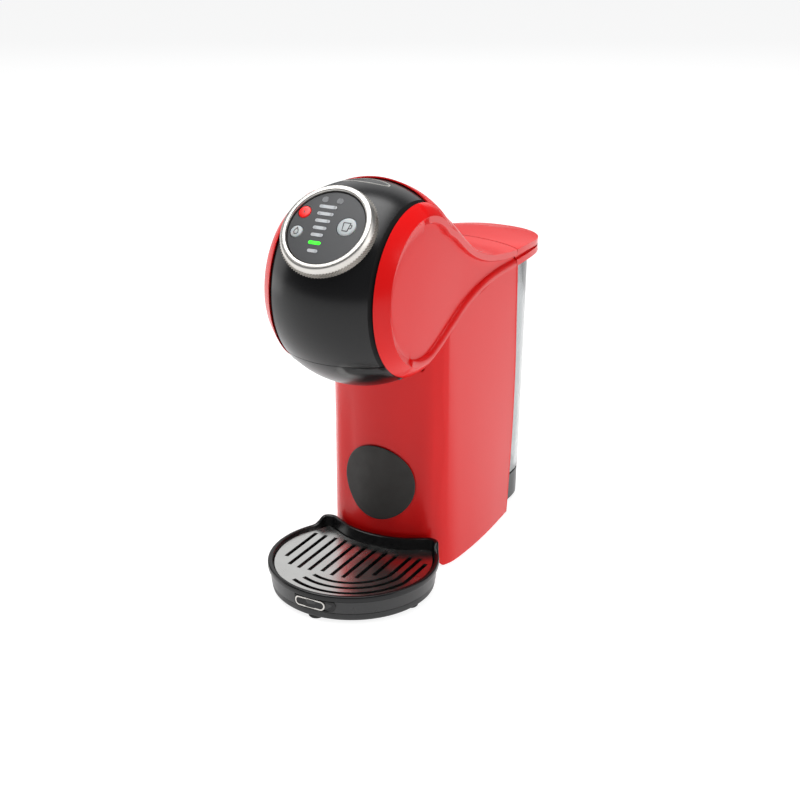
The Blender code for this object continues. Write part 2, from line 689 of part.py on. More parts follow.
def machinery():
    """Pump on its rubber mounts, heater, board and flow meter."""
    pump_at = Matrix.Translation((-10.0, HEAD_Y + 84.0, 0))
    pump = [(0, 34), (6, 34), (6, 44), (17, 44), (17, 104), (9, 104), (9, 122), (4, 122), (4, 132),
            (0, 132)]
    piece("pump", *lathe(pump, 24, pump_at), "steel")
    for name, z in (("pump_mount_lower", 36.0), ("pump_mount_upper", 110.0)):
        reach = 6.3 if z < 50 else 9.3
        mount = [(reach, z), (20.0, z), (20.0, z + 5.0), (reach, z + 5.0)]
        piece(name, *lathe(mount, 20, pump_at), "rubber")
    outline = [(42.0, 171.0), (74.0, 171.0), (77.0, 174.0), (77.0, 196.0), (70.0, 203.0), (46.0, 203.0),
               (42.0, 199.0)]
    piece("thermoblock", *side_prism([(y + HEAD_Y, z) for y, z in outline], -27.0, 27.0), "aluminium")
    board = [(36.0, 54.0), (37.6, 54.0), (37.6, 116.0), (36.0, 116.0), (36.0, 104.0), (28.0, 104.0),
             (28.0, 88.0), (36.0, 88.0), (36.0, 78.0), (30.0, 78.0), (30.0, 64.0), (36.0, 64.0)]
    piece("power_board", *prism([(x, y + HEAD_Y) for x, y in board], 70.0, 150.0), "board_green")
    meter_at = Matrix.Translation((16.0, HEAD_Y + 104.0, 0))
    meter = [(0, 24), (11, 24), (11, 37), (3.4, 37), (3.4, 44), (0, 44)]
    piece("flow_meter", *lathe(meter, 20, meter_at), "grey_plastic")
    hose("suction_hose", [(16, 104, 44.8), (16, 104, 49), (20, 94, 52), (19, 86, 36), (6, 84, 22),
                          (-8, 84, 22), (-10, 84, 33.2)])
    hose("pump_hose", [(-10, 84, 132.4), (-10, 85, 146), (-10, 88, 158), (-10, 92, 176),
                       (-10, 87, 185), (-10, 77.5, 186)])
    hose("brew_hose", [(12, 41.6, 184), (12, 34, 184), (12, 28, 183), (12, 22, 182), (12, 14.4, 182)])


def rear_parts():
    """Rear wall with the mains inlet, and its screws."""
    front, rear = HEAD_Y + REAR_WALL_Y, HEAD_Y + REAR_WALL_Y + REAR_WALL
    wall = piece("rear_wall", *box((-39.6, 39.6), (front, rear), (8.0, 187.0)), "black_plastic")
    spots = [(-34.0, 60.0), (34.0, 60.0), (-34.0, 180.0), (34.0, 180.0)]
    for n, (x, z) in enumerate(spots):
        place = Matrix.Translation((x, rear + GAP, z)) @ Matrix.Rotation(math.pi / 2, 4, "X")
        boolean(wall, helper(*lathe([(0, -4), (1.9, -4), (1.9, 8), (0, 8)], 10, place)))
        screw = [(0, -1.8), (2.6, -1.8), (3.0, 0), (1.5, 0), (1.5, 9), (0, 10)]
        piece(f"housing_screw_{n + 1}", *lathe(screw, 10, place), "steel")
    place = Matrix.Translation((-28.0, rear, 36.0)) @ Matrix.Rotation(math.pi / 2, 4, "X")
    boolean(wall, helper(*lathe([(0, -8), (6.3, -8), (6.3, 8), (0, 8)], 20, place)))
    gland = [(0, -1.9), (7.6, -1.9), (7.6, -0.3), (6.0, -0.3), (6.0, 10.0), (0, 10.0)]
    piece("mains_inlet", *lathe(gland, 20, place), "rubber")


# ---- what it stands on ----

def base_parts():
    """Base plate under the column and the tray, its screws, and the feet."""
    turns = [math.radians(12.5 * k) for k in range(11)]
    arc = [(BASE_R * math.sin(a), TRAY_Y - HEAD_Y - BASE_R * math.cos(a)) for a in turns]
    half = arc + [(39.0, 26.0), (39.0, 36.0), (40.4, 44.0), (40.4, 133.2)]
    plan = [(x, y + HEAD_Y) for x, y in mirrored(half)]
    plate = piece("base_plate", *prism(plan, BASE_LOW, BASE_TOP), "black_plastic")
    for n, (x, y) in enumerate(((-30.0, 44.0), (30.0, 44.0), (-30.0, 112.0), (30.0, 112.0))):
        place = Matrix.Translation((x, y + HEAD_Y, 3.4))
        boolean(plate, helper(*lathe([(0, -3), (3.3, -3), (3.3, -0.3), (1.9, 0), (1.9, 8), (0, 8)], 10, place)))
        screw = [(0, -1.1), (3.0, -1.1), (3.0, -0.6), (1.5, 0), (1.5, 3.2), (0, 3.6)]
        piece(f"base_screw_{n + 1}", *lathe(screw, 10, place), "steel")
    feet = {
        "foot_front": (0.0, -66.5, 1.9),
        "foot_right": (47.0, -26.0, 1.9),
        "foot_left": (-47.0, -26.0, 1.9),
        "foot_rear_right": (25.0, 166.0, 2.2),
        "foot_rear_left": (-25.0, 166.0, 2.2),
    }
    for name, (x, y, top) in feet.items():
        at = Matrix.Translation((x, y + HEAD_Y, 0))
        piece(name, *lathe([(0, 0), (4.6, 0), (5.2, 0.6), (5.2, top), (0, top)], 20, at), "rubber")


def tray_outline():
    """The tray from above: round in front, hollowed behind to follow the column."""
    turns = [math.radians(9.6 * k) for k in range(14)]
    arc = [(TRAY_R * math.sin(a), TRAY_Y - HEAD_Y - TRAY_R * math.cos(a)) for a in turns]
    back = [(45.6, 17.6), (43.4, 20.6), (39.8, 22.0), (36.0, 21.6), (29.5, 17.9), (20.0, 13.1),
            (10.0, 10.6), (0.0, 9.8)]
    return [(x, y + HEAD_Y) for x, y in mirrored(arc + back)]


def drip_tray():
    """Black tray with an overhanging rim, a ledge for the grid and a higher back."""
    outline = tray_outline()
    group = JOINTS["tray"]
    back = []
    for x, y in outline:
        back.append(ease(11.0, 19.0, y - HEAD_Y) if abs(x) > 30 else ease(-4.0, 9.0, y - HEAD_Y))
    plan = [(2.0, 7.3, 0), (1.3, 15.8, 0), (0.0, 16.6, 0), (0.0, 19.9, 1), (0.7, TRAY_RIM, 1),
            (3.2, TRAY_RIM - 0.3, 1), (3.8, 16.0, 0), (6.2, 16.0, 0), (6.4, 9.6, 0)]
    rise = TRAY_BACK - TRAY_RIM
    loops = []
    for reach, z, lift in plan:
        ring = inset(outline, reach)
        loops.append([(x, y, z + rise * b * lift) for (x, y), b in zip(ring, back)])
    piece("drip_tray", *stack(loops), "black_gloss", parent=group)
    angles = [math.radians(2.2 * k - 13.2) for k in range(13)]
    inner, outer = TRAY_R - 1.0, TRAY_R - 0.2
    badge = [(inner * math.sin(a), TRAY_Y - inner * math.cos(a)) for a in angles]
    badge += [(outer * math.sin(a), TRAY_Y - outer * math.cos(a)) for a in reversed(angles)]
    piece("tray_badge", *prism(badge, 8.4, 15.4), "black_gloss", parent=group)


def drip_grid():
    """Pressed grid that the cup stands on, with slots from front to back."""
    plate = prism(inset(tray_outline(), 4.3), 16.4, 18.2)
    grid = piece("drip_grid", *plate, "chrome", parent=JOINTS["grid"])
    for k in range(-4, 5):
        x = 9.0 * k
        reach = math.sqrt((TRAY_R - 10.5) ** 2 - x * x)
        rear = between([(0.0, 2.5), (20.0, 6.0), (36.0, 12.5)], abs(x)) + HEAD_Y
        slot = box((x - 1.7, x + 1.7), (TRAY_Y - reach, rear), (15.0, 20.0))
        boolean(grid, helper(*slot, JOINTS["grid"]))


# ---- the tank ----

def tank_loop(z, front, wall=0.0):
    """The tank's outline at a height: the back leans in towards the foot."""
    lean = 0.724 + 0.276 * (z - 19.0) / (TANK_TOP - 19.0)
    half = front + [(x, y) for x, y in TANK_SIDE_HALF if y > front[-1][1]]
    half = [(x, y if y < TANK_LEAN_Y else TANK_LEAN_Y + (y - TANK_LEAN_Y) * lean) for x, y in half]
    return [(x, y + HEAD_Y, z) for x, y in inset(mirrored(half), wall)]


def tank_parts():
    """Clear tank with its valve, and the dark foot it docks on."""
    group = JOINTS["tank"]
    heights = (TANK_LOW, 60.0, 105.0, 150.0, TANK_TOP)
    loops = [tank_loop(z, TANK_FRONT_HALF) for z in heights]
    loops += [tank_loop(z, TANK_FRONT_HALF, TANK_WALL) for z in reversed(heights[1:])]
    loops.append(tank_loop(TANK_LOW + 2.6, TANK_FRONT_HALF, TANK_WALL))
    tank = piece("water_tank", *stack(loops), "clear", parent=group)
    at = Matrix.Translation((0, VALVE_Y + HEAD_Y, 0))
    boolean(tank, helper(*lathe([(0, 20), (6.4, 20), (6.4, 30), (0, 30)], 20, at), group))
    body = [(3.4, 16.0), (6.0, 16.0), (6.0, 27.0), (8.6, 27.0), (8.6, 28.6), (6.0, 29.4), (6.0, 34.0),
            (3.4, 34.0)]
    piece("tank_valve", *lathe(body, 20, at), "grey_plastic", parent=group)
    poppet = [(0, 13.6), (1.6, 13.6), (1.6, 34.6), (5.2, 34.6), (5.2, 36.2), (0, 36.2)]
    piece("valve_poppet", *lathe(poppet, 16, at), "brass", parent=JOINTS["poppet"])
    foot = [tank_loop(z, FOOT_FRONT_HALF, 0.4) for z in (2.5, 12.0, 23.6)]
    base = piece("tank_base", *stack(foot), "black_plastic")
    boolean(base, helper(*lathe([(0, 13.0), (9.4, 13.0), (9.4, 30.0), (0, 30.0)], 24, at)))
    seal = [(6.4, 19.0), (9.0, 19.0), (9.0, 21.6), (6.4, 21.6)]
    piece("socket_seal", *lathe(seal, 24, at), "rubber")


def joints():
    """Every moving group's place: an empty on the joint's axis."""
    head = (0, HEAD_Y, HEAD_Z)
    places = {"handle": empty("handle_axis", head)}
    places["ring"] = empty("ring_axis", dial_place() @ Vector((0, 0, 60)), places["handle"])
    for name, (x, up, _) in BUTTONS.items():
        places[name] = empty(f"{name}_axis", dial_place(x, up) @ Vector((0, 0, 63)), places["handle"])
    places["injector"] = empty("injector_axis", (0, POD_Y, 185.0))
    places["holder"] = empty("holder_axis", (0, HEAD_Y, 158.0))
    places["tray"] = empty("tray_axis", (0, TRAY_Y, 12.0))
    places["grid"] = empty("grid_axis", (0, TRAY_Y, 17.0), places["tray"])
    places["tank"] = empty("tank_axis", (0, HEAD_Y + 165.0, 30.0))
    places["poppet"] = empty("poppet_axis", (0, VALVE_Y + HEAD_Y, 30.0), places["tank"])
    places["lid"] = empty("lid_axis", (0, HEAD_Y + 170.0, 190.0), places["tank"])
    return places


def clear_scene():
    for found in list(bpy.data.objects):
        bpy.data.objects.remove(found)


clear_scene()
JOINTS = joints()
for build in (upper_housing, column_shell, column_disc, handle_mask, selector_ring, control_panel, buttons,
              handle_inner, axle_pins, capsule_holder, brew_parts, chassis, machinery, rear_parts, base_parts,
              drip_tray, drip_grid, tank_parts, tank_lid):
    build()
bpy.context.view_layer.update()
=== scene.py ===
"""Looks of a pod coffee machine: red shells, black lifting mask, chrome dial, drip tray and clear tank.

Lengths are millimetres until a mesh is made. X is across, -Y is the front and Z is up. Side-view curves
are given from the head's centre, so they hold y as a distance behind it.
"""

import json
import math

import bmesh
import bpy
from bpy.props import BoolProperty, FloatProperty, FloatVectorProperty, IntProperty, PointerProperty
from bpy.types import Operator, Panel, PropertyGroup
from mathutils import Matrix, Vector

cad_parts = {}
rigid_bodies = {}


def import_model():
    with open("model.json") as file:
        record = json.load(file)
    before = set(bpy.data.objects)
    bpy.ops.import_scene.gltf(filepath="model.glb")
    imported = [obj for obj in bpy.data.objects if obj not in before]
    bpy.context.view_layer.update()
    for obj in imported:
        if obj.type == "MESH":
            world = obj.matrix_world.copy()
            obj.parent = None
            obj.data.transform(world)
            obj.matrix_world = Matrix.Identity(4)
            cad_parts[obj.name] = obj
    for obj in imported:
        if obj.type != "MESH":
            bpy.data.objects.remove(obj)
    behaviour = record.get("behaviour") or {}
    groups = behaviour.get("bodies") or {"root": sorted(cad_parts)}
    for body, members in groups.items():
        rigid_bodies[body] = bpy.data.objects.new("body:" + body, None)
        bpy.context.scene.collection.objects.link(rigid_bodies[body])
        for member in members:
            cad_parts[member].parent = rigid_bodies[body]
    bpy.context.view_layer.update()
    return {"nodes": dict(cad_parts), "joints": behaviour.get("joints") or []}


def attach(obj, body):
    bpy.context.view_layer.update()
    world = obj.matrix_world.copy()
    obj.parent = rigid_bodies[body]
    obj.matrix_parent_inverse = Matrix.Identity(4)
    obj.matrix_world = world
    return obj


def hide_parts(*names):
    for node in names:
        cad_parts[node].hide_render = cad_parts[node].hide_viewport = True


bl_info = {
    "name": "Pod coffee machine",
    "version": (1, 0, 0),
    "blender": (4, 5, 0),
    "location": "3D View > Sidebar > Coffee",
    "description": "Builds the looks of a pod coffee machine around its packed frame",
    "category": "Add Mesh",
}

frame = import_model()
MM = 0.001
JOINT = {joint["name"]: joint for joint in frame["joints"]}

# Head: its centre is the handle's pivot, and the dial's axis is the ring's.
HEAD_Y, HEAD_Z = (c / MM for c in JOINT["handle_lift"]["pos_m"][1:])
DIAL_NORMAL = Vector(JOINT["ring_turn"]["axis"])
MASK_R = 65.4
MASK_HALF = 36.3
MASK_REAR_DEG = 106.4
SEAM_Z = 168.2
CAP_IN = 36.7
CAP_R = 66.1
NECK_R = 67.2
CREST_X = 44.6
CREST_R = 47.5
PANEL_X = 42.1
PANEL_R = 42.8
LIP = 4.3
RING_R = 31.2

# Crest lines of the tail from the head's centre: rear end last.
TAIL_TOP = [(43.1, 234.3), (58.2, 223.4), (70.5, 216.0), (84.7, 210.0), (99.5, 205.8),
            (117.3, 202.4), (137.6, 200.0)]
TAIL_MID = [(57.0, 245.0), (70.0, 231.5), (82.0, 219.5), (94.0, 211.5), (107.0, 207.0),
            (124.0, 204.6), (144.6, 203.0)]
TAIL_LOW = [(42.1, 172.8), (56.8, 179.3), (70.5, 183.3), (84.7, 186.2), (99.5, 187.9),
            (117.3, 188.3), (137.6, 188.1)]
LOW_NEAR = [(34.5, 169.7), (27.0, 166.3), (19.5, 163.3)]
LOW_TABLE = [(0.0, 158.9), (10.0, 160.1), *reversed(LOW_NEAR), *TAIL_LOW]
LID_REAR = 212.4
LID_HALF = [(44.5, 138.5), (44.2, 152.0), (43.2, 166.0), (41.0, 181.0), (36.6, 193.0),
            (29.5, 202.5), (20.0, 208.8), (10.0, 211.7)]

# Column's plan from the head's centre: half of it, from the middle of the front to the rear edge.
COLUMN = [(0.0, 0.0), (10.0, 0.95), (20.0, 3.9), (29.5, 8.8), (37.0, 14.6), (42.2, 21.5),
          (45.3, 31.0), (46.7, 48.0), (47.2, 68.0), (46.6, 97.0), (44.9, 127.0)]
COLUMN_FRONT = 11.0
COLUMN_REAR = 138.0
COLUMN_TOP_HALF = 43.3
COLUMN_TOP = 145.2
DISC_Z, DISC_R = 62.0, 26.6

# Tray and base.
TRAY_Y = HEAD_Y - 18.1
TRAY_R = 57.3
# The tray's hollow back, right half, from the head's centre: at its edge, and moved inwards by the reach.
TRAY_INNER_REACH = 6.6
TRAY_OUTER_BACK = [(45.6, 17.6), (43.4, 20.6), (39.8, 22.0), (36.0, 21.6), (29.5, 17.9),
                   (20.0, 13.1), (10.0, 10.6), (0.0, 9.8)]
TRAY_INNER_BACK = [(40.9, 13.2), (40.0, 14.6), (38.7, 15.0), (37.2, 14.5), (32.5, 12.0),
                   (22.3, 6.9), (11.1, 4.1), (0.0, 3.2)]
TRAY_RIM = 20.7
TRAY_BACK = 26.0
BASE_R = 54.6

# Tank's plan from the head's centre: half of it.
TANK_FRONT = [(0.0, 146.0), (12.0, 145.6), (24.0, 144.4), (33.0, 142.6), (37.2, 141.6)]
TANK_SIDE = [(38.8, 143.0), (39.0, 150.0), (38.4, 164.0), (36.0, 176.0), (30.5, 187.0),
             (22.0, 195.5), (11.0, 200.4), (0.0, 201.8)]
TANK_LOW, TANK_TOP = 24.0, 186.4
TANK_LEAN_Y = 150.0
VALVE_Y = 160.0
DOCK_FRONT = [(0.0, 134.0), (37.0, 134.0), (38.8, 136.0)]


# ---- sizes and colours a user may change ----

class MachineSizes(PropertyGroup):
    edge: FloatProperty(
        name="Shell edge", description="Rounding of the moulded shells' edges",
        default=0.00035, min=0.0001, max=0.001, unit="LENGTH", precision=5)
    knurl_teeth: IntProperty(
        name="Knurl teeth", description="Ridges in one row round the dial's ring",
        default=96, min=24, max=160)
    knurl_rows: IntProperty(
        name="Knurl rows", description="Rows of ridges up the ring's wall", default=4, min=1, max=6)
    slot_width: FloatProperty(
        name="Grid slot", description="Width of the slots in the cup grid",
        default=0.0029, min=0.001, max=0.005, unit="LENGTH", precision=4)
    lit: BoolProperty(
        name="Dial lit", description="One bar of the cup-size scale glows", default=True)


class MachineColours(PropertyGroup):
    red: FloatVectorProperty(
        name="Shell red", description="Colour of the gloss shells", subtype="COLOR",
        default=(0.76, 0.006, 0.006), min=0.0, max=1.0)
    black: FloatVectorProperty(
        name="Mask black", description="Colour of the gloss black mouldings", subtype="COLOR",
        default=(0.006, 0.006, 0.0065), min=0.0, max=1.0)
    glow: FloatVectorProperty(
        name="Lit bar", description="Colour of the lit bar on the dial", subtype="COLOR",
        default=(0.03, 1.0, 0.01), min=0.0, max=1.0)


# ---- meshes ----

def between(table, at):
    """Straight-line reading of a list of (key, value) pairs, held at its ends."""
    if at <= table[0][0]:
        return table[0][1]
    for (k0, v0), (k1, v1) in zip(table, table[1:]):
        if at <= k1:
            return v0 + (v1 - v0) * (at - k0) / (k1 - k0)
    return table[-1][1]


def ease(low, high, at):
    """0 to 1 without a corner at either end."""
    t = min(1.0, max(0.0, (at - low) / (high - low)))
    return t * t * (3 - 2 * t)


def flowing(stops, steps):
    """Points on a smooth curve through the stops, with so many steps to each span."""
    stops = [Vector(p) for p in stops]
    before, after = 2 * stops[0] - stops[1], 2 * stops[-1] - stops[-2]
    run = [before, *stops, after]
    points = []
    for a, b, c, d in zip(run, run[1:], run[2:], run[3:]):
        for n in range(steps):
            t = n / steps
            bend = (2 * a - 5 * b + 4 * c - d) * t + (3 * b - a - 3 * c + d) * t * t
            points.append(b + ((c - a) + bend) * t / 2)
    return points + [stops[-1]]


class Sheet:
    """An open or closed surface built row by row, with coincident points made one."""

    def __init__(self):
        self.points, self.faces, self.known = [], [], {}

    def point(self, *spot):
        key = tuple(round(c, 3) for c in spot)
        if key not in self.known:
            self.known[key] = len(self.points)
            self.points.append(spot)
        return self.known[key]

    def row(self, spots):
        return [self.point(*spot) for spot in spots]

    def face(self, corners):
        kept = [c for n, c in enumerate(corners) if c not in corners[:n]]
        if len(kept) > 2:
            self.faces.append(kept)

    def strips(self, rows, closed=False):
        """Faces between neighbouring rows; closed joins each row's two ends."""
        for row, other in zip(rows, rows[1:]):
            if closed:
                row, other = row + row[:1], other + other[:1]
            for a, b, c, d in zip(row, row[1:], other[1:], other):
                self.face([a, b, c, d])


def raw(name, points, faces, inside=None):
    """A mesh object from millimetre points. Faces of an open one are turned away from the inside point."""
    mesh = bpy.data.meshes.new(name)
    mesh.from_pydata([Vector(p) * MM for p in points], [], faces)
    body = bmesh.new()
    body.from_mesh(mesh)
    bmesh.ops.remove_doubles(body, verts=body.verts, dist=1e-6)
    bmesh.ops.recalc_face_normals(body, faces=body.faces)
    if inside:
        centre = Vector(inside) * MM
        out = 0.0
        for face in body.faces:
            away = (face.calc_center_median() - centre).normalized()
            out += away.dot(face.normal) * face.calc_area()
        if out < 0:
            bmesh.ops.reverse_faces(body, faces=body.faces)
    body.to_mesh(mesh)
    body.free()
    made = bpy.data.objects.new(name, mesh)
    bpy.context.scene.collection.objects.link(made)
    return made


def settled(made, smooth=32):
    """The object with its modifiers worked into its mesh, smooth but for real edges."""
    bpy.context.view_layer.update()
    shaped = bpy.data.meshes.new_from_object(made.evaluated_get(bpy.context.evaluated_depsgraph_get()))
    made.modifiers.clear()
    made.data = shaped
    shaped.shade_smooth()
    shaped.set_sharp_from_angle(angle=math.radians(smooth))
    return made


def walled(made, wall):
    """A wall of that thickness behind an open surface."""
    step = made.modifiers.new("wall", "SOLIDIFY")
    step.thickness = wall * MM
    step.offset = -1.0
    step.use_even_offset = True
    step.thickness_clamp = 1.0
    return made


def rounded(made, width, angle=28):
    """Edges sharper than the angle, rounded."""
    step = made.modifiers.new("edges", "BEVEL")
    step.width = width * MM
    step.segments = 2
    step.limit_method = "ANGLE"
    step.angle_limit = math.radians(angle)
    step.harden_normals = True
    return made


def cut(made, tool, operation="DIFFERENCE"):
    """Cuts or joins a helper, which then goes."""
    step = made.modifiers.new("cut", "BOOLEAN")
    step.operation = operation
    step.object = tool
    step.solver = "EXACT"
    settled(made)
    bpy.data.objects.remove(tool)
    return made


def lathe(profile, count, place=Matrix()):
    """A closed (radius, height) profile turned about Z, then placed. Radius 0 is a pole."""
    sheet = Sheet()
    rows = []
    turns = [math.tau * k / count for k in range(count)]
    for radius, height in profile:
        spots = [Vector((radius * math.cos(a), radius * math.sin(a), height)) for a in turns]
        rows.append(sheet.row([place @ spot for spot in spots]))
    if profile[0][0] or profile[-1][0]:
        rows.append(rows[0])
    sheet.strips(rows, closed=True)
    return sheet.points, sheet.faces


def prism(outline, low, high, place=Matrix()):
    """A closed outline in XY drawn out along Z, then placed."""
    count = len(outline)
    points = [place @ Vector((x, y, z)) for z in (low, high) for x, y in outline]
    faces = [list(range(count)), list(range(count, 2 * count))]
    faces += [[k, (k + 1) % count, count + (k + 1) % count, count + k] for k in range(count)]
    return points, faces


def stack(loops):
    """Loops of equal count joined one to the next, with both ends capped."""
    sheet = Sheet()
    rows = [sheet.row(loop) for loop in loops]
    sheet.strips(rows, closed=True)
    sheet.face(rows[0])
    sheet.face(rows[-1])
    return sheet.points, sheet.faces


def inset(outline, distance):
    """A closed outline moved inwards (it runs anticlockwise)."""
    moved = []
    for k, (x, y) in enumerate(outline):
        (x0, y0), (x1, y1) = outline[k - 1], outline[(k + 1) % len(outline)]
        normals = [Vector((y0 - y, x - x0)).normalized(), Vector((y - y1, x1 - x)).normalized()]
        push = (normals[0] + normals[1]).normalized()
        reach = distance / max(0.5, push.dot(normals[0]))
        moved.append((x + push.x * reach, y + push.y * reach))
    return moved


def mirrored(half):
    """A closed anticlockwise outline from its right half, which runs from the front to the back."""
    return half + [(-x, y) for x, y in reversed(half) if x > 0.01]


def pill(width, height, steps):
    """An outline with round ends."""
    reach, r = width / 2 - height / 2, height / 2
    turns = [math.pi * k / steps - math.pi / 2 for k in range(steps + 1)]
    right = [(reach + r * math.cos(a), r * math.sin(a)) for a in turns]
    return right + [(-x, -y) for x, y in right]


def in_place(made, body, slot, look, *nodes):
    """Gives a finished piece its material, its body, its slot and the nodes that it stands for."""
    made.data.materials.clear()
    made.data.materials.append(look)
    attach(made, body)
    if nodes:
        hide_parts(*nodes)
    return made


# ---- materials ----

def linear(code):
    """An sRGB hex colour as linear RGBA."""
    parts = [int(code[k:k + 2], 16) / 255 for k in (1, 3, 5)]
    return (*[p / 12.92 if p <= 0.04045 else ((p + 0.055) / 1.055) ** 2.4 for p in parts], 1.0)


def add(tree, kind, settings=None, **links):
    """A node with its settings (attributes or socket values) and what feeds its sockets."""
    node = tree.nodes.new(kind)
    for key, value in (settings or {}).items():
        if isinstance(key, str) and hasattr(node, key):
            setattr(node, key, value)
        else:
            node.inputs[key].default_value = value
    for key, source in links.items():
        socket = int(key[1:]) if key[0] == "i" and key[1:].isdigit() else key.replace("_", " ")
        tree.links.new(source, node.inputs[socket])
    return node


LOOKS = {}


def look(name, colour, roughness, metallic=0.0, ior=1.5, **sockets):
    """A principled material; what is the same all over is set on the shader's own sockets."""
    made = bpy.data.materials.new(name)
    made.use_nodes = True
    shader = made.node_tree.nodes["Principled BSDF"]
    shader.inputs["Base Color"].default_value = linear(colour) if isinstance(colour, str) else (*colour, 1.0)
    shader.inputs["Roughness"].default_value = roughness
    shader.inputs["Metallic"].default_value = metallic
    shader.inputs["IOR"].default_value = ior
    for key, value in sockets.items():
        shader.inputs[key.replace("_", " ")].default_value = value
    LOOKS[name] = made
    return made.node_tree, shader


def grain(tree, shader, rough, patch, tint, spacing=1.0, depth=0.0):
    """How a surface was made: roughness and tint that wander over patches, and bumps of a spacing and
    depth. All lengths are in millimetres."""
    at = add(tree, "ShaderNodeTexCoord").outputs["Object"]
    settings = {"Scale": 1 / (patch * MM), "Detail": 2.0}
    wide = add(tree, "ShaderNodeTexNoise", settings, Vector=at).outputs["Fac"]
    if depth:
        settings = {"Scale": 1 / (spacing * MM), "Detail": 3.0, "Roughness": 0.55}
        fine = add(tree, "ShaderNodeTexNoise", settings, Vector=at).outputs["Fac"]
        bump = add(tree, "ShaderNodeBump", {"Strength": 1.0, "Distance": depth * MM}, Height=fine)
        tree.links.new(bump.outputs["Normal"], shader.inputs["Normal"])
    settings = {"From Min": 0.3, "From Max": 0.7, "To Min": rough[0], "To Max": rough[1]}
    spread = add(tree, "ShaderNodeMapRange", settings, Value=wide)
    tree.links.new(spread.outputs["Result"], shader.inputs["Roughness"])
    mix = add(tree, "ShaderNodeMix", {"data_type": "RGBA"}, i0=wide)
    base = shader.inputs["Base Color"].default_value
    mix.inputs[6].default_value = base
    mix.inputs[7].default_value = [c * tint for c in base[:3]] + [1.0]
    tree.links.new(mix.outputs[2], shader.inputs["Base Color"])


def worked(name, colour, roughness, rough, patch, tint, spacing=1.0, depth=0.0, **more):
    """A principled material whose surface shows how it was made."""
    tree, shader = look(name, colour, roughness, **more)
    grain(tree, shader, rough, patch, tint, spacing, depth)


